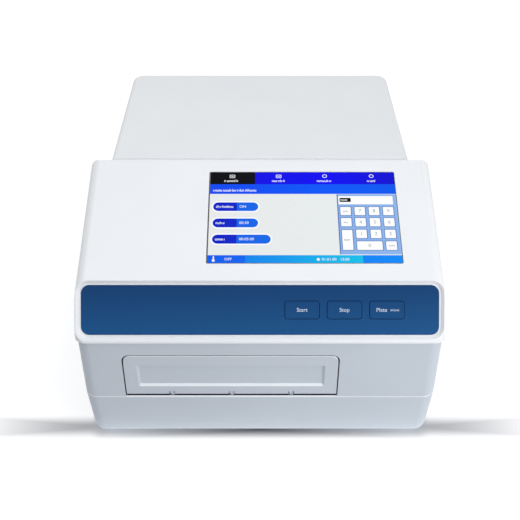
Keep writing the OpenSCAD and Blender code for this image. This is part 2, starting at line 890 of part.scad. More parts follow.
// A toothed belt pulley with a flange at each side.
module pulley(bore) {
    teeth = 16;
    hub_r = pulley_r - belt_t / 2 - 0.1;
    difference() {
        union() {
            along_x(belt_w + 1)
                difference() {
                    circle(hub_r);
                    for (i = [0 : teeth - 1])
                        rotate(i * 360 / teeth) translate([hub_r + 0.1, 0]) circle(0.7, $fn = 16);
                }
            for (x = [-1, 1])
                translate([x * (belt_w / 2 + 0.8), 0, 0]) rod_x_dir(-0.6, 0.6, pulley_r + 1.4);
        }
        rod_x_dir(-10, 10, bore);
    }
}

module drive_pulley() {
    color(aluminium) translate([belt_x, rear_pulley_y, belt_z]) pulley(2.5 + run_gap);
}

module idler_pulley() {
    color(aluminium) translate([belt_x, front_pulley_y, belt_z]) pulley(2 + run_gap);
}

module idler_bracket() {
    color(steel)
        difference() {
            union() {
                for (x = [-7.2, 5.6]) block(
                    [belt_x + x, front_pulley_y - 7, chassis_top],
                    [belt_x + x + 1.6, front_pulley_y + 7, belt_z + 6]
                );
                block(
                    [belt_x - 7.2, front_pulley_y - 7, chassis_top],
                    [belt_x + 7.2, front_pulley_y + 7, chassis_top + 1.6]
                );
            }
            translate([belt_x, front_pulley_y, belt_z]) rod_x_dir(-9, 9, 2.02);
        }
}

module idler_shaft() {
    color(steel) translate([belt_x, front_pulley_y, belt_z]) rod_x_dir(-7.6, 7.6, 2);
}

module belt_loop(r) {
    for (y = [front_pulley_y, rear_pulley_y]) translate([y, belt_z]) circle(r);
    translate([front_pulley_y, belt_z - r]) square([rear_pulley_y - front_pulley_y, 2 * r]);
}

module drive_belt() {
    color(dark)
        translate([belt_x, 0, 0])
            along_x(belt_w - 0.6)
                difference() {
                    belt_loop(pulley_r + belt_t / 2);
                    belt_loop(pulley_r - belt_t / 2 + 0.2);
                }
}

// ---- optics ----
module channel_places() for (i = [0 : channels - 1])
    translate([door_x + (i - (channels - 1) / 2) * well_pitch, bridge_y, 0]) children();

module optics_bridge() {
    z1 = bridge_z + bridge_t;
    color(aluminium)
        difference() {
            union() {
                block(
                    [door_x - bridge_x - 2, bridge_y - bridge_d / 2, bridge_z],
                    [door_x + bridge_x + 2, bridge_y + bridge_d / 2, z1]
                );
                for (x = [-1, 1])
                    translate([door_x + x * bridge_x, 0, 0])
                        block([-2, bridge_y - bridge_d / 2, chassis_top], [2, bridge_y + bridge_d / 2, z1]);
            }
            channel_places() cylinder(h = 200, r = 2.5);
        }
}

module fibre_head() {
    z0 = bridge_z + bridge_t;
    color(dark)
        difference() {
            translate([door_x, bridge_y, z0]) round_block(channels * well_pitch + 8, 14, 14, 2);
            channel_places() translate([0, 0, z0 - 1]) cylinder(h = 20, r = 1.6);
        }
}

module light_guide() {
    z0 = bridge_z + bridge_t + 14;
    color(dark)
        hull() {
            translate([door_x, bridge_y, z0]) round_block(channels * well_pitch, 6, 2, 2, $fn = 16);
            translate([beam_x, wheel_y - 16, wheel_z]) rod_y_dir(-2, 0, 5, $fn = 32);
        }
    color(steel) translate([beam_x, 0, wheel_z]) rod_y_dir(wheel_y - 16, wheel_y - 8, 6.5);
}

module detector_block() {
    z0 = carrier_z - 18;
    color(dark)
        difference() {
            translate([door_x, bridge_y, z0]) round_block(channels * well_pitch, 14, 15, 2);
            channel_places() translate([0, 0, z0 + 4]) cylinder(h = 20, r = 2.5);
        }
}

module detector_board() {
    z0 = carrier_z - 18;
    color(board_green) translate([door_x, bridge_y, z0 - 1.6])
        round_block(channels * well_pitch + 2, 20, 1.6, 1);
    color(steel) for (x = [-1, 1])
        translate([door_x + x * 44, bridge_y, chassis_top]) cylinder(h = z0 - 1.6 - chassis_top, r = 3);
}

module heater_plate() {
    z0 = bridge_z - 1.5;
    mid_y = pocket_y + pocket_w / 2;
    color(aluminium)
        difference() {
            translate([door_x, mid_y, z0]) round_block(pocket_l - 4, pocket_w - 6, 2, 4);
            for (i = [-5 : 5])
                translate([door_x + i * well_pitch, mid_y, z0 - 1]) cylinder(h = 5, r = 2);
        }
    color(steel) for (x = [-1, 1], y = [-1, 1])
        translate([door_x + x * 54, mid_y + y * 34, z0 + 2]) cylinder(h = deck_z - z0 - 2, r = 3);
}

module optics_deck() {
    color(aluminium)
        translate([0, 0, deck_z])
            linear_extrude(deck_t)
                difference() {
                    translate([0, (deck_y0 + deck_y1) / 2]) round_rect(deck_w, deck_y1 - deck_y0, 6);
                    deck_corners() circle(1.7);
                    translate([-96, 190]) round_rect(24, 70, 6);
                }
}

module deck_corners()
    for (x = [-1, 1], y = [deck_y0 + 7, deck_y1 - 7]) translate([x * (deck_w / 2 - 6), y]) children();

module deck_posts() {
    color(steel)
        deck_corners()
            translate([0, 0, chassis_top])
                difference() {
                    cylinder(h = deck_z - chassis_top, r = 4);
                    translate([0, 0, deck_z - chassis_top - 12]) cylinder(h = 13, r = 1.5);
                }
}

module filter_wheel() {
    color(aluminium)
        translate([wheel_x, wheel_y, wheel_z])
            difference() {
                union() {
                    rod_y_dir(-wheel_t / 2, wheel_t / 2, wheel_r);
                    rod_y_dir(-wheel_t / 2 - 4, wheel_t / 2, 8);
                }
                rod_y_dir(-20, 20, 2.5 + run_gap);
                for (i = [0 : filter_count - 1])
                    rotate([0, i * 360 / filter_count, 0])
                        translate([-filter_orbit, 0, 0]) {
                            rod_y_dir(-10, 10, filter_r - 1);
                            rod_y_dir(-wheel_t / 2 + 1.5, 10, filter_r + 0.1);
                        }
                // index notch at the rim
                rotate([0, 180 / filter_count, 0])
                    block([-wheel_r - 1, -10, -1.5], [-wheel_r + 4, 10, 1.5]);
            }
}

module filters() {
    color([0.6, 0.75, 0.85, 0.6])
        for (i = [0 : filter_count - 1])
            translate([wheel_x, wheel_y, wheel_z]) rotate([0, i * 360 / filter_count, 0])
                translate([-filter_orbit, 0, 0]) rod_y_dir(-wheel_t / 2 + 1.5, wheel_t / 2 - 1, filter_r);
}

module filter_motor() {
    color(dark)
        translate([wheel_x, wheel_y + wheel_t / 2 + 6, wheel_z]) {
            stepper(filter_motor_w, motor_len);
            rod_y_dir(-wheel_t - 8, 0, 2.5);
        }
}

module filter_bracket() {
    y0 = wheel_y + wheel_t / 2 + 4;
    w = filter_motor_w / 2 + 1;
    color(aluminium)
        difference() {
            union() {
                block([wheel_x - w, y0, deck_z + deck_t], [wheel_x + w, y0 + 2, wheel_z + w]);
                block([wheel_x - w, y0, deck_z + deck_t], [wheel_x + w, y0 + 24, deck_z + deck_t + 2]);
            }
            translate([wheel_x, 0, wheel_z]) rod_y_dir(y0 - 1, y0 + 3, filter_motor_w * 0.31 + 0.2);
        }
}

module condenser() {
    y0 = wheel_y + wheel_t / 2 + 3;
    z0 = deck_z + deck_t;
    color(aluminium)
        difference() {
            union() {
                translate([beam_x, 0, wheel_z]) rod_y_dir(y0, lamp_y - seat, 8);
                block([beam_x - 5, y0 + 6, z0], [beam_x + 3, y0 + 22, wheel_z - 4]);
            }
            translate([beam_x, 0, wheel_z]) rod_y_dir(y0 - 1, y0 + 27, 6);
        }
}

module lamp_housing() {
    z0 = deck_z + deck_t;
    color(steel)
        difference() {
            block([beam_x - 17, lamp_y, z0], [beam_x + 9, lamp_y + 34, lamp_top]);
            block([beam_x - 15, lamp_y + 2, z0 + 2], [beam_x + 7, lamp_y + 32, lamp_top - 2]);
            translate([beam_x, 0, wheel_z]) rod_y_dir(lamp_y - 1, lamp_y + 3, 6);
            for (i = [0 : 5])
                translate([beam_x - 4, lamp_y + 5 + i * 5, lamp_top - 1]) cube([14, 2.2, 6], center = true);
        }
}

module lamp() {
    color([1, 0.95, 0.8]) translate([beam_x, lamp_y + 14, wheel_z]) sphere(4.5);
    color(white) translate([beam_x, lamp_y + 14, deck_z + deck_t + 2])
        cylinder(h = wheel_z - deck_z - deck_t - 5, r = 3);
}

// ---- electronics ----
module main_board() {
    z0 = deck_z + deck_t + 6;
    color(board_green)
        block([board_x0, deck_y0 + 14, z0], [board_x1, deck_y1 - 22, z0 + 1.6]);
    color(steel)
        for (x = [board_x0 + 4, board_x1 - 4], y = [deck_y0 + 18, deck_y1 - 26])
            translate([x, y, deck_z + deck_t]) cylinder(h = 6, r = 2.5);
    color(dark)
        for (y = [0 : 2]) translate([board_x0 + 18 + y * 14, deck_y0 + 40 + y * 24, z0 + 1.6 - eps]) {
            translate([-7, -7, 0]) cube([14, 14, 2]);
            translate([8, 10, 0]) cylinder(h = 9, r = 4);
        }
}

module power_supply() {
    mid_x = (supply_x0 + supply_x1) / 2;
    can_h = 34;
    color(steel)
        difference() {
            block([supply_x0, supply_y0, chassis_top], [supply_x1, supply_y1, chassis_top + can_h]);
            block(
                [supply_x0 + 2, supply_y0 - 4, chassis_top + 2],
                [supply_x1 - 2, supply_y1 + 4, chassis_top + can_h - 2]
            );
            for (i = [0 : 8], j = [-1 : 1])
                translate([mid_x + j * 13, supply_y0 + 10 + i * 9.6, chassis_top + can_h - 1])
                    cube([9, 3, 6], center = true);
        }
    color(board_green)
        block(
            [supply_x0 + 3, supply_y0 + 2, chassis_top + 2],
            [supply_x1 - 3, supply_y1 - 2, chassis_top + 4]
        );
    color(dark) {
        block(
            [supply_x0 + 8, supply_y0 + 10, chassis_top + 4 - eps],
            [can_x - 10, supply_y0 + 36, chassis_top + 24]
        );
        for (i = [0 : 2])
            translate([can_x, supply_y0 + 18 + i * 22, chassis_top + 4 - eps]) cylinder(h = 22, r = 7);
    }
}

module fan_frame() {
    y0 = sheet_y - seat - fan_t;
    color(dark)
        translate([fan_x, y0, fan_z])
            difference() {
                union() {
                    along_y(0, 2.5) round_rect(fan_w, fan_w, 3);
                    along_y(fan_t - 2.5, fan_t) round_rect(fan_w, fan_w, 3);
                    rod_y_dir(0, fan_t, fan_w / 2 - 0.5);
                }
                rod_y_dir(2.5, fan_t + 1, fan_w / 2 - 2);
                difference() {
                    rod_y_dir(-1, 3, fan_w / 2 - 2);
                    rod_y_dir(-2, 4, 14);
                    for (a = [45 : 90 : 315]) rotate([0, a, 0]) block([0, -2, -2], [fan_w / 2, 4, 2]);
                }
                for (x = [-1, 1], z = [-1, 1])
                    translate([x * (fan_w / 2 - 5), 0, z * (fan_w / 2 - 5)]) rod_y_dir(-1, fan_t + 1, 2.1);
            }
    color(steel) translate([fan_x, y0, fan_z]) rod_y_dir(1, 7, 1.5);
}

module fan_rotor() {
    y0 = sheet_y - seat - fan_t;
    blades = 7;
    color(dark)
        translate([fan_x, y0 + 3, fan_z])
            difference() {
                union() {
                    rod_y_dir(0, fan_t - 4, 13);
                    for (i = [0 : blades - 1]) rotate([0, i * 360 / blades, 0])
                        translate([12, (fan_t - 4) / 2, 0]) rotate([38, 0, 0])
                            block([0, -5.6, -0.7], [fan_w / 2 - 15.5, 5.6, 0.7]);
                }
                rod_y_dir(-1, 5, 1.5 + run_gap);
            }
}

module fan_guard() {
    y0 = sheet_y + sheet_t - seat;
    color(steel)
        translate([fan_x, y0, fan_z]) {
            for (r = [7 : 6 : 25]) difference() {
                rod_y_dir(0.6, 2, r + 0.8);
                rod_y_dir(0, 3, r - 0.8);
            }
            for (a = [45, 135]) rotate([0, a, 0]) block([-fan_w * 0.56, 0.6, -0.8], [fan_w * 0.56, 2, 0.8]);
            for (x = [-1, 1], z = [-1, 1])
                translate([x * fan_hole, 0, z * fan_hole]) rod_y_dir(0, 2.2, 3.2);
        }
}

module power_inlet() {
    y1 = sheet_y + sheet_t - seat;
    color(dark)
        translate([inlet_x, 0, inlet_z])
            difference() {
                union() {
                    block([-13.5, y1 - 20, -10], [13.5, y1 + 1, 10]);
                    along_y(y1, y1 + 2) round_rect(48, 22.6, 3);
                }
                along_y(y1 - 15, y1 + 3)
                    polygon([[-12, -7.5], [12, -7.5], [12, 4], [8.5, 7.5], [-8.5, 7.5], [-12, 4]]);
                for (x = [-1, 1]) translate([x * 20, 0, 0]) rod_y_dir(y1 - 1, y1 + 3, 1.7);
            }
    color(steel)
        for (i = [-1 : 1]) translate([inlet_x + i * 7, y1 - 16, inlet_z + (i == 0 ? 3 : -1.5)])
            block([-1, 0, -2.2], [1, 13, 2.2]);
}

module switch_frame() {
    y1 = sheet_y + sheet_t - seat;
    color(dark)
        translate([switch_x, 0, switch_z])
            difference() {
                union() {
                    block([-9.7, y1 - 16, -6.4], [9.7, y1 + 0.5, 6.4]);
                    along_y(y1, y1 + 1.4) round_rect(22, 15, 1.5);
                }
                block([-8, y1 - 9, -4.7], [8, y1 + 2, 4.7]);
            }
    color(steel) translate([switch_x, y1 - 4, switch_z]) cylinder(h = 10.4, r = 1, center = true);
}

module switch_rocker() {
    y1 = sheet_y + sheet_t - seat;
    color(dark)
        translate([switch_x, y1 - 4, switch_z])
            rotate([0, 0, -9])
                difference() {
                    intersection() {
                        linear_extrude(rocker_r, center = true)
                            polygon([
                                [-7.2, 3.4], [0, 2.2], [7.2, 3.4], [7.2, 1],
                                [2.5, -3.4], [-2.5, -3.4], [-7.2, 1],
                            ]);
                        cylinder(h = 10, r = rocker_r, center = true);
                    }
                    cylinder(h = 20, r = 1 + run_gap, center = true);
                }
}

module data_ports() {
    y1 = sheet_y + sheet_t - seat;
    color(steel) {
        for (i = [0 : 1]) translate([port_x + i * 20 - 34, 0, port_z])
            difference() {
                block([-6.6, y1 - 16, -2.9], [6.6, y1 + 0.8, 2.9]);
                block([-5.9, y1 - 12, -2.2], [5.9, y1 + 2, 2.2]);
            }
        translate([port_x + 10, 0, port_z])
            difference() {
                block([-6.1, y1 - 16, -5.5], [6.1, y1 + 0.8, 5.5]);
                block([-5.2, y1 - 12, -4.6], [5.2, y1 + 2, 4.6]);
            }
    }
    color(board_green) block([port_x - 44, y1 - 30, port_z - 8], [port_x + 20, y1 - 16, port_z - 6.4]);
}

module case_screws() {
    color(steel)
        for (p = chassis_bolts)
            translate([p.x, p.y, chassis_top]) {
                cylinder(h = 1.8, r = 2.8);
                translate([0, 0, -6]) cylinder(h = 6 + eps, r = 1.2);
            }
}

placed() base_shell();
placed() front_cover();
placed() console_housing();
placed() rear_cover();
placed() rear_panel();
placed() feet();
placed() button_panel();
placed() start_button();
placed() stop_button();
placed() plate_button();
placed() button_board();
placed() button_switches();
placed() display_glass();
placed() display_module();
placed() display_bracket();
placed() display_board();
placed() plate_door();
placed() door_hinge_pin();
placed() chassis_plate();
placed() guide_rods();
placed() rod_supports();
placed() plate_carrier();
placed() carrier_bushes();
placed() belt_clamp();
placed() plate_spring();
placed() sensor_flag();
placed() home_sensor();
placed() drive_motor();
placed() motor_bracket();
placed() drive_pulley();
placed() idler_pulley();
placed() idler_bracket();
placed() idler_shaft();
placed() drive_belt();
placed() optics_bridge();
placed() fibre_head();
placed() light_guide();
placed() detector_block();
placed() detector_board();
placed() heater_plate();
placed() optics_deck();
placed() deck_posts();
placed() lamp_housing();
placed() lamp();
placed() condenser();
placed() filter_wheel();
placed() filters();
placed() filter_motor();
placed() filter_bracket();
placed() main_board();
placed() power_supply();
placed() fan_frame();
placed() fan_rotor();
placed() fan_guard();
placed() power_inlet();
placed() switch_frame();
placed() switch_rocker();
placed() data_ports();
placed() case_screws();
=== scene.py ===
import random
from math import cos, pi, radians, sin

import bmesh
import bpy
from mathutils import Matrix, Vector


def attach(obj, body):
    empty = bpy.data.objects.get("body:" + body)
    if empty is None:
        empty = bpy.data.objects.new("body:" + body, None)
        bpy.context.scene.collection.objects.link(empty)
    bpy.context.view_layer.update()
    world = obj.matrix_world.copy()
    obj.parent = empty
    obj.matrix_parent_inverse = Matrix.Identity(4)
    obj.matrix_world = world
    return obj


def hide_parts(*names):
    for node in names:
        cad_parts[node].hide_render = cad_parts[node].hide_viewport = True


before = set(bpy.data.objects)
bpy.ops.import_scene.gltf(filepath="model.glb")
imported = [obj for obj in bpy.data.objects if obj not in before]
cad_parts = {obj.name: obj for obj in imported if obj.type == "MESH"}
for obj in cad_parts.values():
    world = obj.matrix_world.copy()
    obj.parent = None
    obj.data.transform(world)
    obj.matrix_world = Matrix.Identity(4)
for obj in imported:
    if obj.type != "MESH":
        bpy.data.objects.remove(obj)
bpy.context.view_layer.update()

random.seed(7)

# the case's main sizes in millimetres: y from the front face, z from the table
case = {
    "width": 296.0, "depth": 314.0, "wall": 3.0, "seam": 47.0, "faceTop": 110.0,
    "rimStep": 2.0, "rimHeight": 2.0, "corner": 11.0, "footHeight": 3.0,
    "bandLength": 48.3, "bandAngle": 54.0, "consoleLength": 122.0, "consoleAngle": 20.6,
    "consoleLean": 2.0, "coverWidth": 257.0, "coverTop": 192.0,
}
rimZ = case["faceTop"] - case["rimHeight"]
half = case["width"] / 2
lowerHalf = half - case["rimStep"]
band = Vector((0, cos(radians(case["bandAngle"])), sin(radians(case["bandAngle"]))))
incline = Vector((0, cos(radians(case["consoleAngle"])), sin(radians(case["consoleAngle"]))))
bandEnd = Vector((0, 0, case["faceTop"])) + band * case["bandLength"]
consoleEnd = bandEnd + incline * case["consoleLength"]

toRow = Matrix.Diagonal((0.001, 0.001, 0.001, 1)) @ Matrix.Translation((0, -case["depth"] / 2, 0))
onBand = Matrix.Translation((0, 0, case["faceTop"])) @ Matrix.Rotation(radians(case["bandAngle"]), 4, "X")
onConsole = Matrix.Translation(bandEnd) @ Matrix.Rotation(radians(case["consoleAngle"]), 4, "X")
upright = Matrix.Rotation(pi / 2, 4, "X")  # turns a flat form to face the front


def block(low, high):
    bm = bmesh.new()
    bmesh.ops.create_cube(bm, size=1.0)
    bmesh.ops.scale(bm, vec=Vector(high) - Vector(low), verts=bm.verts)
    bmesh.ops.translate(bm, vec=(Vector(high) + Vector(low)) / 2, verts=bm.verts)
    return bm


def rod(radius, x0, x1, segments=32):
    bm = bmesh.new()
    bmesh.ops.create_cone(bm, cap_ends=True, segments=segments, radius1=radius, radius2=radius,
                          depth=x1 - x0)
    return moved(bm, Matrix.Translation(((x0 + x1) / 2, 0, 0)) @ Matrix.Rotation(pi / 2, 4, "Y"))


def prism(outline, x0, x1):
    bm = bmesh.new()
    face = bm.faces.new([bm.verts.new((x0, y, z)) for y, z in outline])
    grown = bmesh.ops.extrude_face_region(bm, geom=[face])["geom"]
    ends = [g for g in grown if isinstance(g, bmesh.types.BMVert)]
    bmesh.ops.translate(bm, vec=(x1 - x0, 0, 0), verts=ends)
    bmesh.ops.recalc_face_normals(bm, faces=bm.faces)
    return bm


def moved(bm, matrix):
    bmesh.ops.transform(bm, matrix=matrix, verts=bm.verts)
    return bm


def edgesWhere(bm, test, axis=None):
    found = []
    for edge in bm.edges:
        a, b = (vert.co for vert in edge.verts)
        if axis is not None and abs((b - a).normalized()[axis]) < 0.999:
            continue
        if test((a + b) / 2, a, b):
            found.append(edge)
    return found


def rounded(bm, edges, radius, segments=6, clamp=True):
    bmesh.ops.bevel(bm, geom=edges, offset=radius, offset_type="OFFSET", segments=segments, profile=0.5,
                    affect="EDGES", clamp_overlap=clamp, material=-1)
    return bm


def slab(width, height, low, high, corner=0.0, segments=6):
    bm = block((-width / 2, -height / 2, low), (width / 2, height / 2, high))
    if corner:
        rounded(bm, edgesWhere(bm, lambda mid, a, b: True, axis=2), corner, segments)
    return bm


def topEdge(bm, z):
    return edgesWhere(bm, lambda mid, a, b: abs(a.z - z) < 0.001 and abs(b.z - z) < 0.001)


def looseObject(bm, name="tool"):
    mesh = bpy.data.meshes.new(name)
    bm.to_mesh(mesh)
    bm.free()
    piece = bpy.data.objects.new(name, mesh)
    bpy.context.scene.collection.objects.link(piece)
    return piece


def combined(operation, bm, *tools):
    base = looseObject(bm, "base")
    made = [looseObject(tool) for tool in tools]
    for tool in made:
        step = base.modifiers.new("join", "BOOLEAN")
        step.operation, step.solver, step.object = operation, "EXACT", tool
    bpy.context.view_layer.update()
    mesh = bpy.data.meshes.new_from_object(base.evaluated_get(bpy.context.evaluated_depsgraph_get()))
    result = bmesh.new()
    result.from_mesh(mesh)
    bmesh.ops.remove_doubles(result, verts=result.verts, dist=0.004)
    bpy.data.meshes.remove(mesh)
    for spare in [base, *made]:
        data = spare.data
        bpy.data.objects.remove(spare)
        bpy.data.meshes.remove(data)
    return result


def lettering(text, size, thick, align="CENTER"):
    curve = bpy.data.curves.new("sign", "FONT")
    curve.body, curve.size, curve.align_x, curve.align_y = text, size, align, "CENTER"
    curve.extrude, curve.resolution_u = thick / 2, 3
    holder = bpy.data.objects.new("sign", curve)
    bpy.context.scene.collection.objects.link(holder)
    bpy.context.view_layer.update()
    mesh = bpy.data.meshes.new_from_object(holder.evaluated_get(bpy.context.evaluated_depsgraph_get()))
    sign = bmesh.new()
    sign.from_mesh(mesh)
    bmesh.ops.remove_doubles(sign, verts=sign.verts, dist=0.0001)
    bpy.data.objects.remove(holder)
    bpy.data.curves.remove(curve)
    bpy.data.meshes.remove(mesh)
    return sign


def collect(target, source, material=0):
    for face in source.faces:
        face.material_index = material
    mesh = bpy.data.meshes.new("part")
    source.to_mesh(mesh)
    source.free()
    target.from_mesh(mesh)
    bpy.data.meshes.remove(mesh)
    return target


# angles in degrees from which an edge stays sharp or is softened, and the weight of the large faces
shading = {"sharpFrom": 32, "softenedSharpFrom": 60, "softenFrom": 40, "flatWeight": 80}


def makePiece(name, bm, materials, body, replaces=(), soften=0.0):
    moved(bm, toRow)
    piece = looseObject(bm, name)
    for material in materials:
        piece.data.materials.append(material)
    piece.data.polygons.foreach_set("use_smooth", [True] * len(piece.data.polygons))
    if soften:
        edge = piece.modifiers.new("soft edges", "BEVEL")
        edge.width, edge.segments, edge.limit_method = soften / 1000, 2, "ANGLE"
        edge.angle_limit, edge.use_clamp_overlap = radians(shading["softenFrom"]), False
        edge.material = -1
    sharpFrom = shading["softenedSharpFrom"] if soften else shading["sharpFrom"]
    piece.data.set_sharp_from_angle(angle=radians(sharpFrom))
    shade = piece.modifiers.new("flat faces first", "WEIGHTED_NORMAL")
    shade.keep_sharp, shade.weight = True, shading["flatWeight"]
    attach(piece, body)
    if replaces:
        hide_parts(*replaces)
    return piece


def hexColour(code):
    channels = [int(code[i:i + 2], 16) / 255 for i in (1, 3, 5)]
    return tuple(c / 12.92 if c <= 0.04045 else ((c + 0.055) / 1.055) ** 2.4 for c in channels) + (1.0,)


def addNode(tree, kind, values=None, links=None, **settings):
    node = tree.nodes.new(kind)
    for name, value in settings.items():
        setattr(node, name, value)
    for name, value in (values or {}).items():
        node.inputs[name].default_value = value
    for name, socket in (links or {}).items():
        tree.links.new(socket, node.inputs[name])
    return node


def newMaterial(name, **values):
    material = bpy.data.materials.new(name)
    material.use_nodes = True
    tree = material.node_tree
    shader = tree.nodes["Principled BSDF"]
    for key, value in values.items():
        shader.inputs[key.replace("_", " ")].default_value = value
    place = addNode(tree, "ShaderNodeTexCoord").outputs["Object"]
    return material, tree, shader, place


def blendColours(tree, factor, *codes):
    ramp = addNode(tree, "ShaderNodeValToRGB", links={"Fac": factor})
    stops = ramp.color_ramp.elements
    while len(stops) < len(codes):
        stops.new(0.5)
    for i, code in enumerate(codes):
        stops[i].position = i / (len(codes) - 1)
        stops[i].color = hexColour(code)
    return ramp.outputs["Color"]


def grained(name, dark, light, grain, bump, roughness, spread=0.06, patch=45.0, **values):
    # fine surface grain in millimetres, with a slow change of tone over larger patches
    material, tree, shader, place = newMaterial(name, **values)
    fine = addNode(tree, "ShaderNodeTexNoise", {"Scale": 1000 / grain, "Detail": 3.0, "Roughness": 0.6},
                   {"Vector": place})
    slow = addNode(tree, "ShaderNodeTexNoise", {"Scale": 1000 / patch, "Detail": 2.0}, {"Vector": place})
    tree.links.new(blendColours(tree, slow.outputs["Fac"], dark, light), shader.inputs["Base Color"])
    gloss = addNode(tree, "ShaderNodeMapRange", {"To Min": roughness - spread, "To Max": roughness + spread},
                    {"Value": fine.outputs["Fac"]})
    tree.links.new(gloss.outputs["Result"], shader.inputs["Roughness"])
    relief = addNode(tree, "ShaderNodeBump", {"Strength": bump, "Distance": grain / 4000},
                     {"Height": fine.outputs["Fac"]})
    tree.links.new(relief.outputs["Normal"], shader.inputs["Normal"])
    return material


def drawn(name, dark, light, line, stretch, bump, roughness, metallic=1.0, **values):
    # metal with fine lines along the axes that have a small stretch; line is their width in millimetres
    material, tree, shader, place = newMaterial(name, Metallic=metallic, **values)
    turned = addNode(tree, "ShaderNodeMapping", {"Scale": stretch}, {"Vector": place})
    lines = addNode(tree, "ShaderNodeTexNoise", {"Scale": 1000 / line, "Detail": 4.0, "Roughness": 0.65},
                    {"Vector": turned.outputs["Vector"]})
    slow = addNode(tree, "ShaderNodeTexNoise", {"Scale": 30.0}, {"Vector": place})
    both = addNode(tree, "ShaderNodeMath", {2: 0.25}, {0: lines.outputs["Fac"], 1: slow.outputs["Fac"]},
                   operation="MULTIPLY_ADD")
    tree.links.new(blendColours(tree, both.outputs["Value"], dark, light), shader.inputs["Base Color"])
    gloss = addNode(tree, "ShaderNodeMapRange", {"To Min": roughness - 0.08, "To Max": roughness + 0.1},
                    {"Value": lines.outputs["Fac"]})
    tree.links.new(gloss.outputs["Result"], shader.inputs["Roughness"])
    relief = addNode(tree, "ShaderNodeBump", {"Strength": bump, "Distance": 0.00005},
                     {"Height": lines.outputs["Fac"]})
    tree.links.new(relief.outputs["Normal"], shader.inputs["Normal"])
    return material


print("materials")
# ABS, injection moulded against a spark-eroded tool: a soft even sheen over a fine matt grain
whiteAbs = grained("white ABS moulded", "#e9ebee", "#eef0f3", 0.9, 0.12, 0.46)
# the same resin from a duller tool, as the rear cover shows it
coverAbs = grained("white ABS moulded matt", "#e9ebee", "#eef0f2", 0.9, 0.12, 0.55,
                   Specular_IOR_Level=0.35)
# the same resin in the cooler tone of the lower mouldings
greyAbs = grained("grey ABS moulded", "#c1c9d3", "#c7cfd8", 0.9, 0.12, 0.4)
# painted highlight: the same grey, smoother, with no texture and a paler colour than the resin's own,
# so that the up-facing moulded edges show as bright lines
paintedHighlightAbs = grained("grey ABS painted highlight", "#e6ebf1", "#ecf0f5", 0.9, 0.02, 0.25)
# polycarbonate film printed from behind: deep colour under a satin face, with painted shade: lighter towards
# its low edge and darker towards its top
film = {"lowZ": 0.114, "highZ": 0.147, "fleck": 1600.0, "fleckTone": 0.03}
blueFilm, tree, shader, place = newMaterial("polycarbonate film printed with painted shade", Roughness=0.42,
                                            Specular_IOR_Level=0.12)
height = addNode(tree, "ShaderNodeSeparateXYZ", links={"Vector": place})
part = addNode(tree, "ShaderNodeMapRange", {"From Min": film["lowZ"], "From Max": film["highZ"]},
               {"Value": height.outputs["Z"]})
fleck = addNode(tree, "ShaderNodeTexNoise", {"Scale": film["fleck"], "Detail": 2.0}, {"Vector": place})
spread = addNode(tree, "ShaderNodeMapRange", {"To Min": -film["fleckTone"], "To Max": film["fleckTone"]},
                 {"Value": fleck.outputs["Fac"]})
shadeAndFleck = addNode(tree, "ShaderNodeMath", links={0: part.outputs["Result"], 1: spread.outputs["Result"]},
                operation="ADD")
# painted shade from the low edge to the top, with random flecks of tone
tree.links.new(blendColours(tree, shadeAndFleck.outputs["Value"], "#174f84", "#0c3a6a"), shader.inputs["Base Color"])
relief = addNode(tree, "ShaderNodeBump", {"Strength": 0.05, "Distance": 0.0001},
                 {"Height": fleck.outputs["Fac"]})
tree.links.new(relief.outputs["Normal"], shader.inputs["Normal"])
# white ink on the film: nearly flat, a little duller than the film
paleInk = grained("white ink screen-printed", "#c9d8ea", "#d6e2f0", 0.4, 0.03, 0.5)
# glass-filled PC/ABS for hidden frames: dark, slightly rough from the fibres
blackPc = grained("black PC/ABS moulded", "#16181b", "#1e2023", 0.7, 0.15, 0.5)
# PBT, moulded: harder and shinier, as on fans, sockets and switches
blackPbt = grained("black PBT moulded", "#131416", "#191a1c", 0.5, 0.08, 0.36)
# nitrile rubber, pressed: no shine, chalky grey bloom
nitrile = grained("nitrile rubber pressed", "#1d1d1e", "#2a2a2b", 0.8, 0.3, 0.78)
# painted shade: a black strip with a foam-like grain, put in the gap round the door so that the gap reads
# dark
paintedGapShade = grained("black strip painted gap shade", "#060606", "#0c0c0c", 0.5, 0.3, 0.9)
# polyurethane toothed belt: matt, with fine cross ribs from the mould
beltRubber = drawn("polyurethane belt cast", "#141414", "#232323", 0.9, (1.0, 0.15, 1.0), 0.4, 0.7,
                   metallic=0.0)
# zinc-plated sheet steel, rolled: cool and satin with faint rolling lines
zincSheet = drawn("zinc plated sheet rolled", "#b4b8bc", "#cfd3d6", 0.6, (0.06, 1.0, 1.0), 0.15, 0.34)
# aluminium sheet, rolled and lightly anodised: whiter and duller than the steel
aluSheet = drawn("anodised aluminium sheet", "#c9cbcd", "#dddfe1", 0.5, (1.0, 0.05, 1.0), 0.12, 0.4)
# aluminium, milled: short bright cutter marks
aluMilled = drawn("aluminium milled", "#c4c6c8", "#e2e4e6", 0.35, (1.0, 0.3, 0.3), 0.2, 0.28)
# hardened shaft steel, ground: mirror-like with hair lines round the shaft
groundSteel = drawn("shaft steel ground", "#c2c5c8", "#dcdfe2", 0.3, (0.2, 1.6, 0.2), 0.08, 0.16)
# oil-filled bronze, sintered: porous, warm, half matt
sinteredBronze = grained("oil bronze sintered", "#8f6a34", "#ab8446", 0.35, 0.5, 0.42, Metallic=1.0)
# steel, nickel plated: clean and bright for pins, screws and shells
nickel = drawn("nickel plated steel", "#b9bbbb", "#d4d6d5", 0.4, (0.5, 0.5, 0.5), 0.06, 0.22)


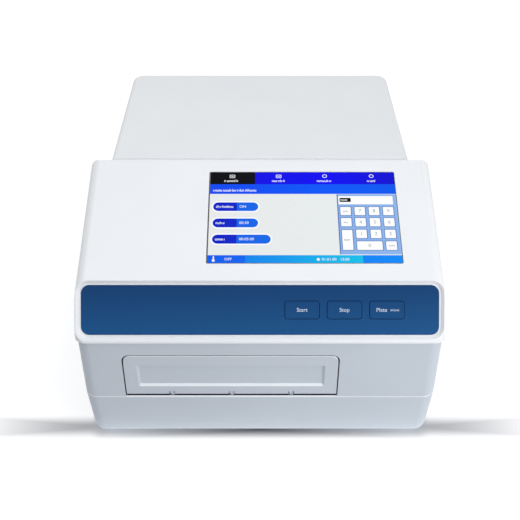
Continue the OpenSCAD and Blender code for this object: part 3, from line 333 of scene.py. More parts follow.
def solderMask(name, partsAbove=None):
    # epoxy board under green solder mask: traces show as lighter lines, parts above the board are black
    material, tree, shader, place = newMaterial(name, Coat_Weight=0.4, Coat_Roughness=0.2)
    tracks = addNode(tree, "ShaderNodeTexBrick", {"Scale": 90.0, "Mortar Size": 0.06, "Brick Width": 0.9,
                     "Row Height": 0.22, "Color1": hexColour("#17492b"), "Color2": hexColour("#1b5432"),
                     "Mortar": hexColour("#2f7a48")}, {"Vector": place}, offset=0.37)
    weave = addNode(tree, "ShaderNodeTexNoise", {"Scale": 1800.0}, {"Vector": place})
    colour = tracks.outputs["Color"]
    if partsAbove is not None:
        height = addNode(tree, "ShaderNodeSeparateXYZ", links={"Vector": place})
        above = addNode(tree, "ShaderNodeMath", {1: partsAbove}, {0: height.outputs["Z"]},
                        operation="GREATER_THAN")
        mixed = addNode(tree, "ShaderNodeMix", links={"Factor": above.outputs["Value"]}, data_type="RGBA")
        tree.links.new(colour, mixed.inputs["A"])
        mixed.inputs["B"].default_value = hexColour("#1c1d1f")
        colour = mixed.outputs["Result"]
    tree.links.new(colour, shader.inputs["Base Color"])
    relief = addNode(tree, "ShaderNodeBump", {"Strength": 0.15, "Distance": 0.0001},
                     {"Height": weave.outputs["Fac"]})
    tree.links.new(relief.outputs["Normal"], shader.inputs["Normal"])
    gloss = addNode(tree, "ShaderNodeMapRange", {"To Min": 0.35, "To Max": 0.5},
                    {"Value": weave.outputs["Fac"]})
    tree.links.new(gloss.outputs["Result"], shader.inputs["Roughness"])
    return material


def filterGlass():
    # interference filters, vacuum coated: mirror-like glass whose tint changes from one filter to the next
    material, tree, shader, place = newMaterial("filter glass coated", Roughness=0.06, Metallic=0.55)
    wheel = {"Location": (-0.005, 0.0, -0.14), "Rotation": (pi / 2, 0, 0)}  # the filter wheel's middle
    turned = addNode(tree, "ShaderNodeMapping", wheel, {"Vector": place})
    sweep = addNode(tree, "ShaderNodeTexGradient", links={"Vector": turned.outputs["Vector"]},
                    gradient_type="RADIAL")
    tint = blendColours(tree, sweep.outputs["Fac"], "#7d5bb8", "#3f78c9", "#3fae9b", "#c9b23f", "#b8543f")
    tree.links.new(tint, shader.inputs["Base Color"])
    return material


def lampGlass(footTop, glassFrom):
    # quartz bulb on a ceramic foot: clear bright top, chalky base
    material, tree, shader, place = newMaterial("quartz bulb blown", Roughness=0.12)
    height = addNode(tree, "ShaderNodeSeparateXYZ", links={"Vector": place})
    part = addNode(tree, "ShaderNodeMapRange", {"From Min": footTop, "From Max": glassFrom},
                   {"Value": height.outputs["Z"]})
    tint = blendColours(tree, part.outputs["Result"], "#d8d3c8", "#fff3d6")
    tree.links.new(tint, shader.inputs["Base Color"])
    return material


boardGreen = solderMask("solder mask board")
mainBoardGreen = solderMask("solder mask main board", partsAbove=0.1069)
coatedFilter = filterGlass()
quartz = lampGlass(footTop=0.135, glassFrom=0.137)

finishes = {
    nitrile: ["feet"],
    aluSheet: ["rear_panel", "optics_deck", "display_bracket", "filter_bracket", "motor_bracket"],
    zincSheet: ["chassis_plate", "idler_bracket", "lamp_housing", "power_supply", "display_module"],
    aluMilled: ["rod_supports", "belt_clamp", "drive_pulley", "idler_pulley", "optics_bridge", "heater_plate",
                "condenser", "filter_wheel"],
    groundSteel: ["guide_rods", "idler_shaft", "door_hinge_pin"],
    nickel: ["plate_spring", "sensor_flag", "deck_posts", "fan_guard", "data_ports", "case_screws"],
    sinteredBronze: ["carrier_bushes"],
    blackPc: ["plate_carrier", "home_sensor", "fibre_head", "light_guide", "detector_block",
              "button_switches"],
    blackPbt: ["drive_motor", "filter_motor", "fan_frame", "fan_rotor", "power_inlet", "switch_frame",
               "switch_rocker"],
    beltRubber: ["drive_belt"],
    boardGreen: ["button_board", "display_board", "detector_board"],
    mainBoardGreen: ["main_board"],
    coatedFilter: ["filters"],
    quartz: ["lamp"],
}
for finish, nodes in finishes.items():
    for node in nodes:
        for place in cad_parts[node].material_slots:
            place.material = finish


print("console")  # housing with the panel's bed, the key wells and the display's seat
panel = {"side": 7.0, "height": 39.2, "thick": 1.8, "seat": 0.8, "corner": 6.5, "margin": 5.2,
         "bedDepth": 2.4, "strip": 1.3, "edge": 0.9}
keys = {"width": 27.0, "height": 13.9, "pitch": 33.35, "end": 41.2, "gap": 0.35, "corner": 2.2, "proud": 0.2,
        "edge": 0.45, "skirt": 3.2, "frameIn": 2.0, "frameLine": 0.5}
glass = {"width": 156.7, "height": 92.0, "thick": 1.8, "x": 35.6, "margin": 14.3, "play": 0.5, "ledge": 4}
console = {"sideRadius": 9.0, "bandRadius": 2.8, "ridge": 0.6, "brow": 0.8, "rearEdge": 2.0, "groove": 1.6,
           "planLow": 50, "planHigh": 250, "bandInset": 0.5}
blank = {"ahead": -60, "behind": 200, "below": -200}  # blanks for the rounded sides reach past the case
inner = {"floor": 96, "roofDrop": 4.4, "bend": (34.4, 148.1), "lip": (4.6, 106.8), "lipFoot": 104}
panelWidth = case["width"] - 2 * panel["side"]
keyX = panelWidth / 2 - keys["end"] - keys["pitch"]
panelTop = panel["thick"] - panel["seat"]
onBed = onBand @ Matrix.Translation((0, panel["margin"] + panel["height"] / 2, -panel["bedDepth"]))
onGlass = onConsole @ Matrix.Translation(
    (glass["x"], case["consoleLength"] - glass["margin"] - glass["height"] / 2, 0))


def leanIn(bm, narrow):
    rise = consoleEnd.z - rimZ
    for vert in bm.verts:
        vert.co.x *= 1 - narrow * max(vert.co.z - rimZ, 0) / rise / half
    return bm


def consoleForm():
    bm = prism([(0, rimZ), (consoleEnd.y, rimZ), (consoleEnd.y, consoleEnd.z), (bandEnd.y, bandEnd.z),
                (0, case["faceTop"])], -half, half)
    for y, z, radius in ((0, case["faceTop"], console["brow"]), (bandEnd.y, bandEnd.z, console["ridge"]),
                         (consoleEnd.y, consoleEnd.z, console["rearEdge"])):
        corner = Vector((0, y, z))
        rounded(bm, edgesWhere(bm, lambda mid, a, b: (mid - corner).length < 0.1, axis=0), radius, 4)
    leanIn(bm, case["consoleLean"])
    plan = slab(case["width"], case["depth"], console["planLow"], console["planHigh"], case["corner"], 16)
    moved(plan, Matrix.Translation((0, case["depth"] / 2, 0)))
    crownHalf = half - case["consoleLean"]
    top = block((-crownHalf, blank["ahead"], blank["below"]), (crownHalf, blank["behind"], 0))
    rounded(top, edgesWhere(top, lambda mid, a, b: mid.z > -1, axis=1), console["sideRadius"], 14)
    frontHalf = half - console["bandInset"]
    front = block((-frontHalf, blank["ahead"], blank["below"]), (frontHalf, blank["behind"], 0))
    rounded(front, edgesWhere(front, lambda mid, a, b: mid.z > -1, axis=1), console["bandRadius"], 8)
    return combined("INTERSECT", bm, plan, moved(top, onConsole), moved(front, onBand))


def bedCutter():
    # the bed's floor with sides that slope out at 45 degrees
    width, height = panelWidth + 2 * panel["strip"], panel["height"] + 2 * panel["strip"]
    corner, rise = panel["corner"] + panel["strip"], panel["bedDepth"] + 2
    bm = slab(width, height, 0, rise, corner, 8)
    for vert in bm.verts:
        if vert.co.z > rise / 2:
            centre = Vector((width / 2 - corner, height / 2 - corner, 0))
            centre.x *= 1 if vert.co.x > 0 else -1
            centre.y *= 1 if vert.co.y > 0 else -1
            outward = Vector((vert.co.x - centre.x, vert.co.y - centre.y, 0)).normalized()
            vert.co += outward * rise
    return moved(bm, onBed)


def keyHole(i, low, high):
    hole = slab(keys["width"] + 2 * keys["gap"], keys["height"] + 2 * keys["gap"], low, high,
                keys["corner"] + keys["gap"], 5)
    return moved(hole, onBed @ Matrix.Translation((keyX + i * keys["pitch"], 0, 0)))


wall = case["wall"]
hollow = leanIn(prism([(wall, inner["floor"]), (consoleEnd.y - wall, inner["floor"]),
                       (consoleEnd.y - wall, consoleEnd.z - inner["roofDrop"]), inner["bend"], inner["lip"],
                       (wall, inner["lipFoot"])], -half + 2 * wall, half - 2 * wall), case["consoleLean"])
rearWay = block((-case["coverWidth"] / 2 + wall, consoleEnd.y - wall - 1, inner["floor"]),
                (case["coverWidth"] / 2 - wall, consoleEnd.y + 1, case["coverTop"] - wall - 2))
window = moved(slab(glass["width"] + glass["play"], glass["height"] + glass["play"],
                    -glass["thick"] - 0.1, 10, 1.4), onGlass)
windowWay = moved(slab(glass["width"] - glass["ledge"], glass["height"] - glass["ledge"], -20, 0, 1), onGlass)
panelSeat = moved(slab(panelWidth + 0.3, panel["height"] + 0.3, -panel["seat"], 1, panel["corner"] + 0.15, 8),
                  onBed)
consoleShell = combined("DIFFERENCE", consoleForm(), hollow, rearWay, windowWay, window, bedCutter(),
                        panelSeat, *[keyHole(i, -12, 4) for i in (-1, 0, 1)])
makePiece("consoleShell", consoleShell, [whiteAbs], "case", ["console_housing"])

print("rear cover")
cover = {"rearCorner": 11.0, "topEdge": 5.0, "openingWidth": 227.0, "openingLow": 55.0, "openingHigh": 180.0,
         "gap": 0.3, "hollowFrom": 120, "grooveHalf": 160, "grooveTop": 200}


def coverForm(inset, front):
    width = case["coverWidth"] / 2 - inset
    bm = block((-width, front, case["seam"] - inset),
               (width, case["depth"] - inset, case["coverTop"] - inset))
    rounded(bm, edgesWhere(bm, lambda mid, a, b: mid.y > 200, axis=2), cover["rearCorner"] - inset, 8)
    top = case["coverTop"] - inset
    rounded(bm, edgesWhere(bm, lambda mid, a, b: abs(a.z - top) < 0.01 and abs(b.z - top) < 0.01
                           and mid.y > front + 1), cover["topEdge"] - inset, 6)
    return bm


coverShell = combined(
    "DIFFERENCE", coverForm(0, consoleEnd.y + cover["gap"]), coverForm(wall, cover["hollowFrom"]),
    block((-cover["openingWidth"] / 2, case["depth"] - wall - 1, cover["openingLow"]),
          (cover["openingWidth"] / 2, case["depth"] + 1, cover["openingHigh"])),
    block((-cover["grooveHalf"], consoleEnd.y - 1, case["coverTop"] - console["groove"]),
          (cover["grooveHalf"], consoleEnd.y + console["groove"], cover["grooveTop"])))
makePiece("rearCover", coverShell, [coverAbs], "case", ["rear_cover"], soften=0.3)

print("front cover")  # with the door's opening
door = {"x": -23.6, "width": 173.6, "height": 45.5, "thick": 3.2, "corner": 6.3, "gap": 0.85, "foot": 1.0,
        "margin": 10.4, "sink": 1.9, "pin": 1.0, "knucklePitch": 49.3, "knuckleWidth": 4.0, "lug": 2.4,
        "stem": 1.4, "lugGap": 0.4, "rim": 0.8}
front = {"hollowLow": 40, "hollowHigh": 120, "wayIn": 10, "sillCut": 3, "touch": 0.1, "gapShadeFrom": 0.3}
doorLow, doorHigh = case["seam"] + door["foot"], case["seam"] + door["height"]
pinY, pinZ = case["rimStep"] + door["thick"], case["seam"] + door["foot"] + door["thick"]


def doorForm(grow, low, y0, y1):
    width = door["width"] / 2 + grow
    bm = block((door["x"] - width, y0, low), (door["x"] + width, y1, doorHigh + grow))
    return rounded(bm, edgesWhere(bm, lambda mid, a, b: mid.z > doorHigh - 1, axis=1), door["corner"], 8)


frontOuter = block((-lowerHalf, case["rimStep"], case["seam"]), (lowerHalf, consoleEnd.y, rimZ))
rounded(frontOuter, edgesWhere(frontOuter, lambda mid, a, b: mid.y < 10, axis=2), case["corner"], 10)
frontInner = block((-lowerHalf + wall, case["rimStep"] + wall, front["hollowLow"]),
                   (lowerHalf - wall, consoleEnd.y - wall, front["hollowHigh"]))
rounded(frontInner, edgesWhere(frontInner, lambda mid, a, b: mid.y < 10, axis=2), case["corner"] - wall, 8)
frontWay = block((-case["coverWidth"] / 2 + wall, consoleEnd.y - front["wayIn"], front["hollowLow"]),
                 (case["coverWidth"] / 2 - wall, consoleEnd.y + 1, front["hollowHigh"]))
frontShell = combined("DIFFERENCE", frontOuter, frontInner, frontWay,
                      doorForm(door["gap"], case["seam"] - front["sillCut"], -1, case["rimStep"] + wall + 1))
# painted shade: the opening's inner edge gets the black strip so that the gap round the door reads dark
for face in frontShell.faces:
    mid = face.calc_center_median()
    inside = abs(mid.x - door["x"]) < door["width"] / 2 + door["gap"] + front["touch"]
    below = mid.z < doorHigh + door["gap"] + front["touch"]
    within = case["rimStep"] + front["gapShadeFrom"] < mid.y < case["rimStep"] + wall + front["touch"]
    if inside and below and within and abs(face.normal.y) < 0.5:
        face.material_index = 1
makePiece("frontCover", frontShell, [greyAbs, paintedGapShade], "case", ["front_cover"], soften=0.3)

print("base")  # tub with its vents, foot seats and the lugs of the door's hinge
base = {"draft": 3.0, "low": 2.2, "corner": 11.0, "lowEdge": 6.0, "seamEdge": 1.0,
        "footX": 113.0, "footY": 32.0, "footRadius": 11.2, "ledgeX": 143.5, "ledgeHalf": 20}
vents = {"count": 7, "x": 98, "y": 56, "pitch": 10, "length": 44, "width": 3.5, "corner": 1.7}


def tubForm(inset, top):
    low = base["low"] + inset
    bm = block((-lowerHalf + inset, case["rimStep"] + inset, low),
               (lowerHalf - inset, case["depth"] - inset, top))
    rounded(bm, edgesWhere(bm, lambda mid, a, b: abs(a.z - b.z) > 10), base["corner"] - inset, 10)
    rounded(bm, edgesWhere(bm, lambda mid, a, b: max(a.z, b.z) < low + 0.01), base["lowEdge"] - inset, 8)
    middle = case["depth"] / 2
    for vert in bm.verts:
        drop = max(case["seam"] - vert.co.z, 0) / (case["seam"] - base["low"])
        vert.co.x *= 1 - base["draft"] * drop / lowerHalf
        vert.co.y = middle + (vert.co.y - middle) * (1 - base["draft"] / 2 * drop / middle)
    return bm


ledges = [block((side * base["ledgeX"] - base["ledgeHalf"], consoleEnd.y - 3, case["seam"] - wall),
                (side * base["ledgeX"] + base["ledgeHalf"], case["depth"], case["seam"] + 8))
          for side in (-1, 1)]
tubHollow = combined("DIFFERENCE", tubForm(wall, case["seam"] + 5), *ledges)
slots = [moved(slab(vents["length"], vents["width"], -1, 20, vents["corner"], 4),
               Matrix.Translation((vents["x"], vents["y"] + i * vents["pitch"], 0)))
         for i in range(vents["count"])]
footSeats = []
for x in (-base["footX"], base["footX"]):
    for y in (base["footY"], case["depth"] - base["footY"]):
        seat = moved(rod(base["footRadius"], -1, 1, 40), Matrix.Rotation(pi / 2, 4, "Y"))
        footSeats.append(moved(seat, Matrix.Translation((x, y, case["footHeight"]))))
tubOuter = tubForm(0, case["seam"])
rounded(tubOuter, topEdge(tubOuter, case["seam"]), base["seamEdge"], 1)
tub = combined("DIFFERENCE", tubOuter, tubHollow, *slots, *footSeats)
# painted highlight: the up-facing bevel at the seam gets the paler material
for face in tub.faces:
    if 0.3 < face.normal.z < 0.95 and face.calc_center_median().z > case["seam"] - base["seamEdge"]:
        face.material_index = 1
for i in (-1, 0, 1):
    place = Matrix.Translation((door["x"] + i * door["knucklePitch"], pinY, pinZ))
    lug = rod(door["lug"], -door["knuckleWidth"] / 2, door["knuckleWidth"] / 2, 32)
    stem = block((-door["knuckleWidth"] / 2, -door["stem"], case["seam"] - pinZ - 6),
                 (door["knuckleWidth"] / 2, door["stem"], 0))
    lug = combined("UNION", lug, stem)
    lug = combined("DIFFERENCE", lug, rod(door["pin"] + 0.02, -6, 6, 24))
    collect(tub, moved(lug, place))
# painted shade: a black strip along the sill under the door, so that the gap there reads dark
sill = block((door["x"] - door["width"] / 2, case["rimStep"] + 1.2, case["seam"] - 0.1),
             (door["x"] + door["width"] / 2, case["rimStep"] + wall - 0.1, case["seam"] + 0.05))
collect(tub, sill, 2)
makePiece("baseTub", tub, [greyAbs, paintedHighlightAbs, paintedGapShade], "case", ["base_shell"], soften=0.2)

print("panel")  # blue film panel and its three keys
panelPlate = slab(panelWidth, panel["height"], -panel["seat"], panelTop, panel["corner"], 8)
rounded(panelPlate, topEdge(panelPlate, panelTop), panel["edge"], 3)
panelPlate = combined("DIFFERENCE", moved(panelPlate, onBed), *[keyHole(i, -5, 5) for i in (-1, 0, 1)])
makePiece("bluePanel", panelPlate, [blueFilm], "case", ["button_panel"], soften=0.15)


labels = {"start_button": [("Start", 0, 4.4)], "stop_button": [("Stop", 0, 4.4)],
          "plate_button": [("Plate", -4.1, 4.4), ("in/out", 6.2, 2.9)]}
for i, name in enumerate(("start_button", "stop_button", "plate_button")):
    top = panelTop + keys["proud"]
    key = slab(keys["width"], keys["height"], -wall - 2, top, keys["corner"], 5)
    rounded(key, topEdge(key, top), keys["edge"], 3)
    skirt = slab(keys["width"] + keys["skirt"], keys["height"] + keys["skirt"], -wall - 1.5, -wall - 0.3,
                 keys["corner"], 5)
    key = combined("UNION", key, skirt)
    wide, high = keys["width"] - keys["frameIn"], keys["height"] - keys["frameIn"]
    ring = combined("DIFFERENCE", slab(wide, high, top - 0.02, top + 0.03, 1.5, 4),
                    slab(wide - keys["frameLine"], high - keys["frameLine"], top - 1, top + 1, 1.3, 4))
    collect(key, ring, 2)
    for text, x, size in labels[name]:
        collect(key, moved(lettering(text, size, 0.06), Matrix.Translation((x, 0, top + 0.01))), 1)
    moved(key, onBed @ Matrix.Translation((keyX + (i - 1) * keys["pitch"], 0, 0)))
    makePiece(name.replace("_b", "B"), key, [blueFilm, paleInk, blueFilm], name, [name])

print("door")
barrel = [(pinY + door["thick"] * sin(radians(a)), pinZ - door["thick"] * cos(radians(a)))
          for a in range(-90, 181, 6)]
profile = [(case["rimStep"], doorHigh), *barrel, (pinY, doorHigh)]
doorPlate = prism(profile, door["x"] - door["width"] / 2, door["x"] + door["width"] / 2)
rounded(doorPlate, edgesWhere(doorPlate, lambda mid, a, b: mid.z > doorHigh - 1, axis=1), door["corner"], 10)
rim = edgesWhere(doorPlate, lambda mid, a, b: mid.z > doorHigh - door["corner"] and max(
    abs(a.y - case["rimStep"]), abs(b.y - case["rimStep"])) < 0.01)
rounded(doorPlate, rim, door["rim"], 4, clamp=False)
sunkWidth, sunkHeight = door["width"] - 2 * door["margin"], doorHigh - doorLow - 2 * door["margin"]
sunk = slab(sunkWidth - 2 * door["sink"], sunkHeight - 2 * door["sink"], -door["sink"], 1)
rounded(sunk, edgesWhere(sunk, lambda mid, a, b: mid.y < 0, axis=2), 2.0, 5)
for vert in sunk.verts:
    if vert.co.z > 0:
        vert.co.x *= 1 + 2 * (door["sink"] + 1) / sunkWidth
        vert.co.y *= 1 + 2 * (door["sink"] + 1) / sunkHeight
sunk = moved(sunk, Matrix.Translation((door["x"], case["rimStep"], (doorLow + doorHigh) / 2)) @ upright)
notches = [moved(rod(door["pin"] + 0.05, -door["width"], door["width"], 24),
                 Matrix.Translation((door["x"], pinY, pinZ)))]
for i in (-1, 0, 1):
    place = Matrix.Translation((door["x"] + i * door["knucklePitch"], pinY, pinZ))
    side = door["knuckleWidth"] / 2 + door["lugGap"]
    notches.append(moved(rod(door["lug"] + door["lugGap"], -side, side, 32), place))
    notches.append(moved(block((-side, -door["thick"] - 1, -door["thick"] - 1),
                               (side, door["stem"] + door["lugGap"], door["stem"] + door["lugGap"])), place))
doorPlate = combined("DIFFERENCE", doorPlate, sunk, *notches)
# painted highlight: the door's up-facing top rim gets the paler material
for face in doorPlate.faces:
    mid = face.calc_center_median()
    if 0.35 < face.normal.z < 0.95 and mid.y < case["rimStep"] + door["sink"] + 0.2 and mid.z > doorLow + 5:
        face.material_index = 1
makePiece("plateDoor", doorPlate, [greyAbs, paintedHighlightAbs], "plate_door", ["plate_door"],
          soften=0.12)

print("display")  # dark glass with the picture in thin layers on it


def litScreen(name, low, high):
    # lit LCD under coated glass: the colour glows by itself, and may change across the display
    material, tree, shader, place = newMaterial(name, Roughness=0.3, Emission_Strength=1.0,
                                                Specular_IOR_Level=0.04)
    middle = toRow @ (onGlass @ Vector((0, 0, 0)))
    centred = addNode(tree, "ShaderNodeVectorMath", {1: middle}, {0: place}, operation="SUBTRACT")
    part = addNode(tree, "ShaderNodeSeparateXYZ", links={"Vector": centred.outputs["Vector"]})
    reach = glass["width"] / 2000
    along = addNode(tree, "ShaderNodeMapRange", {"From Min": -reach, "From Max": reach},
                    {"Value": part.outputs["X"]})
    tint = blendColours(tree, along.outputs["Result"], *low.split(), *high.split())
    dots = addNode(tree, "ShaderNodeTexNoise", {"Scale": 900.0, "Detail": 1.0}, {"Vector": place})
    level = addNode(tree, "ShaderNodeMapRange", {"To Min": 0.94, "To Max": 1.04},
                    {"Value": dots.outputs["Fac"]})
    lit = addNode(tree, "ShaderNodeMix", {"Factor": 1.0}, data_type="RGBA", blend_type="MULTIPLY")
    tree.links.new(tint, lit.inputs["A"])
    tree.links.new(level.outputs["Result"], lit.inputs["B"])
    tree.links.new(lit.outputs["Result"], shader.inputs["Emission Color"])
    shader.inputs["Base Color"].default_value = hexColour("#020203")
    return material


screenLooks = {
    "tabOn": ("screen black tab", "#000008", "#020014"),
    "tabs": ("screen tab blue", "#0b06c8 #0a06ea", "#0800f4 #0a08d0"),
    "title": ("screen title blue", "#0848f0 #0450f6", "#0258fa #0058f0"),
    "page": ("screen page grey", "#e8ebeb", "#e9eeee"),
    "halo": ("screen white", "#fbfdff", "#ffffff"),
    "pillDark": ("screen pill dark", "#0820c4", "#0a38dc"),
    "pillLight": ("screen pill light", "#0c5ce6", "#1680ee"),
    "pad": ("screen keypad blue", "#7fa6dc", "#8fb6ec"),
    "padLine": ("screen keypad line", "#4468ae", "#4b71b8"),
    "foot": ("screen foot blue", "#0a5aee", "#0a8cfa"),
    "footMid": ("screen foot cyan", "#0b74ee #0f92ee", "#12b8ea #1ac8f0"),
    "ink": ("screen grey ink", "#8f959e", "#9aa0a8"),
    "black": ("screen black ink", "#030304", "#060608"),
}
lookOrder = list(screenLooks)
lookMaterials = [litScreen(name, low, high) for name, low, high in screenLooks.values()]
layer = {"thick": 0.02, "step": 0.03, "base": -0.22}
picture = bmesh.new()


def plate(u0, v0, u1, v1, look, level, corner=0.0):
    # u from the left edge of the glass, v from its lower edge, in millimetres
    z = layer["base"] + layer["step"] * level
    bm = slab(u1 - u0, v1 - v0, z, z + layer["thick"], corner, 6)
    across, up = (u0 + u1) / 2 - glass["width"] / 2, (v0 + v1) / 2 - glass["height"] / 2
    moved(bm, Matrix.Translation((across, up, 0)))
    collect(picture, bm, lookOrder.index(look))


def words(u0, u1, v, tall, look, level):
    # a run of small strokes, some joined at the top, middle or foot, that stands for a line of text
    u, low, line = u0, v - tall / 2, 0.38
    while u < u1 - 1.2:
        high = tall * random.choice((0.72, 0.72, 0.72, 1.0))
        plate(u, low, u + line, low + high, look, level)
        if random.random() < 0.75:
            wide = random.uniform(0.75, 1.05)
            plate(u + wide, low, u + wide + line, low + 0.72 * tall, look, level)
            bar = low + random.choice((0, 0.32, 0.72 - line / tall)) * tall
            plate(u + line, bar, u + wide, bar + line, look, level)
            u += wide
        u += line + random.choice((0.36, 0.36, 0.4, 0.95))


def written(text, u, v, size, look, level, align="CENTER"):
    z = layer["base"] + layer["step"] * level + layer["thick"] / 2
    sign = lettering(text, size, layer["thick"], align)
    moved(sign, Matrix.Translation((u - glass["width"] / 2, v - glass["height"] / 2, z)))
    collect(picture, sign, lookOrder.index(look))


def ringPlate(u, v, wide, high, line, look, level, corner):
    z = layer["base"] + layer["step"] * level
    ring = combined("DIFFERENCE", slab(wide, high, z, z + layer["thick"], corner, 4),
                    slab(wide - 2 * line, high - 2 * line, z - 1, z + 1, max(corner - line, 0.05), 4))
    moved(ring, Matrix.Translation((u - glass["width"] / 2, v - glass["height"] / 2, 0)))
    collect(picture, ring, lookOrder.index(look))


# the picture's bands and blocks in millimetres from the glass's lower left corner
screen = {"left": 0.9, "right": glass["width"] - 0.3, "low": 0.4, "foot": 7.8, "title": 68.8, "tabs": 79.0,
          "top": 91.6, "firstTab": 38.6, "tabWord": 82.5}
tabs = ((19.4, 6.8), (58.6, 5.7), (97.6, 6.7), (137.2, 3.9))  # middle and half width of each tab's word
pills = {"left": 3.9, "round": 14.0, "split": 23.6, "border": 1.3, "text": 25.6}
pillRows = ((51.2, 60.0, 41.3, 20.5, "ON"), (34.8, 43.6, 41.2, 15.0, "00:30"),
            (18.8, 27.6, 51.4, 15.0, "00:05:00"))  # low, high, right end, end of the name, value
keypad = {"left": 106.8, "low": 8.6, "top": 68.4, "line": 0.8, "x": 109.2, "pitch": 11.75,
          "rows": (47.0, 35.8, 24.2, 12.8), "width": 8.6, "height": 8.3, "border": 0.5, "shade": 0.6}
wideKeys = ((109.4, 12.8, 117.9, 32.2), (121.0, 12.8, 141.5, 21.1))
keyMarks = ((111.4, 116.0, 51.0), (111.4, 116.0, 39.8), (110.9, 116.6, 22.5), (146.6, 151.2, 17.0))
digits = {"7": (1, 0), "8": (2, 0), "9": (3, 0), "4": (1, 1), "5": (2, 1), "6": (3, 1),
          "1": (1, 2), "2": (2, 2), "3": (3, 2), "0": (1.5, 3)}  # column and row of each

plate(screen["left"], screen["low"], screen["right"], screen["top"], "page", 0)
plate(screen["left"], screen["tabs"], screen["right"], screen["top"], "tabs", 1)
plate(screen["left"], screen["tabs"], screen["firstTab"], screen["top"], "tabOn", 2)
plate(screen["left"], screen["title"], screen["right"], screen["tabs"], "title", 1)
words(3.4, 39.5, 72.6, 2.6, "halo", 2)
for number, (u, reach) in enumerate(tabs):
    words(u - reach, u + reach, screen["tabWord"], 2.3, "halo", 3)
    if number < 2:
        ringPlate(u, 87.3, 4.6, 3.4, 0.5, "halo", 3, 0.6)
        plate(u - 1.1, 87.0, u + 1.1, 87.6, "halo", 3)
    else:
        ringPlate(u, 87.6, 4.0, 3.6, 0.55, "halo", 3, 1.7)
for v0, v1, u1, nameEnd, value in pillRows:
    tall, border = v1 - v0, pills["border"]
    plate(pills["left"] - border, v0 - border, u1 + border, v1 + border, "halo", 1, tall / 2 + 1.2)
    plate(pills["left"], v0, u1, v1, "pillLight", 2, tall / 2 - 0.05)
    plate(pills["left"], v0, pills["round"], v1, "pillDark", 3, tall / 2 - 0.05)
    plate(9.0, v0, pills["split"], v1, "pillDark", 3)
    words(6.4, nameEnd, (v0 + v1) / 2, 2.4, "halo", 4)
    written(value, pills["text"], (v0 + v1) / 2, 3.6, "halo", 4, "LEFT")
plate(keypad["left"], keypad["low"], screen["right"], keypad["top"], "pad", 1)
plate(keypad["left"], keypad["low"], keypad["left"] + keypad["line"], keypad["top"], "padLine", 2)
plate(108.0, 58.0, 153.4, 66.5, "halo", 3, 0.5)
plate(109.0, 60.4, 118.4, 64.6, "black", 4, 0.8)
words(110.0, 116.5, 62.5, 1.8, "halo", 5)
padKeys = []
for column in range(4):
    for row in range(4):
        if not (column == 0 and row > 1 or column in (1, 2) and row == 3):
            u0, v0 = keypad["x"] + keypad["pitch"] * column, keypad["rows"][row]
            padKeys.append((u0, v0, u0 + keypad["width"], v0 + keypad["height"]))
for u0, v0, u1, v1 in (*padKeys, *wideKeys):
    plate(u0 - keypad["border"], v0 - keypad["border"], u1 + keypad["shade"], v1 + keypad["shade"],
          "padLine", 2, 0.4)
    plate(u0, v0, u1, v1, "halo", 3, 0.5)
for u0, u1, v in keyMarks:
    words(u0, u1, v, 1.8, "ink", 4)
for digit, (column, row) in digits.items():
    written(digit, keypad["x"] + keypad["pitch"] * column + keypad["width"] / 2,
            keypad["rows"][row] + keypad["height"] / 2, 4.6, "ink", 4)
plate(screen["left"], screen["low"], screen["right"], screen["foot"], "foot", 1)
plate(31.0, screen["low"], 125.0, screen["foot"], "footMid", 2)
plate(5.0, 2.4, 6.0, 6.8, "halo", 3, 0.4)
plate(4.3, 1.6, 6.7, 3.8, "halo", 3, 1.0)
written("OFF", 14.2, 3.9, 3.4, "halo", 3, "LEFT")
plate(88.0, 2.6, 90.4, 5.0, "halo", 3, 1.1)
written("01.01.00   12:00", 92.0, 3.8, 3.4, "halo", 3, "LEFT")

glassPlate = slab(glass["width"], glass["height"], -glass["thick"], layer["base"], 1.2, 4)
rounded(glassPlate, topEdge(glassPlate, layer["base"]), 0.3, 2)
# glass with a black ceramic print behind it: deep black, smooth and sharp in its reflections
blackGlass = grained("black glass printed", "#0d0e11", "#121317", 1.5, 0.01, 0.12, spread=0.03,
                     Coat_Weight=0.6)
makePiece("displayGlass", moved(glassPlate, onGlass), [blackGlass], "case",
          ["display_glass"])
makePiece("screenPicture", moved(picture, onGlass), lookMaterials, "case")

print("stage")  # floor, light and camera
floorMesh = bmesh.new()
bmesh.ops.create_grid(floorMesh, x_segments=1, y_segments=1, size=6.0)
floor = looseObject(floorMesh, "floor")
stage, tree, shader, place = newMaterial("studio floor with painted shadow", Roughness=0.9)
shader.inputs["Specular IOR Level"].default_value = 0.0
rays = addNode(tree, "ShaderNodeLightPath")
# metres from the middle of the case, and strengths; the line and dark entries place the painted shadow along
# the front edge
ground = {"halfWidth": 0.135, "halfDepth": 0.148, "contact": 0.015, "lift": 0.62,
          "farFrom": 0.05, "farTo": 1.2, "farLift": 0.5, "mirrored": 0.5,
          "frontLine": 0.1465, "lineWidth": 0.015, "lineFrom": 0.14, "lineTo": 0.28,
          "darkReach": 0.13, "darkLeast": 0.1,
          "bounceReach": 0.03, "bounceStrength": 1.6, "bounceFrom": -0.12, "bounceFull": -0.15}
reach = addNode(tree, "ShaderNodeVectorMath", links={0: place}, operation="ABSOLUTE")
across = addNode(tree, "ShaderNodeSeparateXYZ", links={"Vector": reach.outputs["Vector"]})
reach = addNode(tree, "ShaderNodeVectorMath", {1: (ground["halfWidth"], ground["halfDepth"], 0)},
                {0: reach.outputs["Vector"]}, operation="SUBTRACT")
reach = addNode(tree, "ShaderNodeVectorMath", links={0: reach.outputs["Vector"]}, operation="MAXIMUM")
distance = addNode(tree, "ShaderNodeVectorMath", links={0: reach.outputs["Vector"]}, operation="LENGTH")
depth = addNode(tree, "ShaderNodeSeparateXYZ", links={"Vector": place})
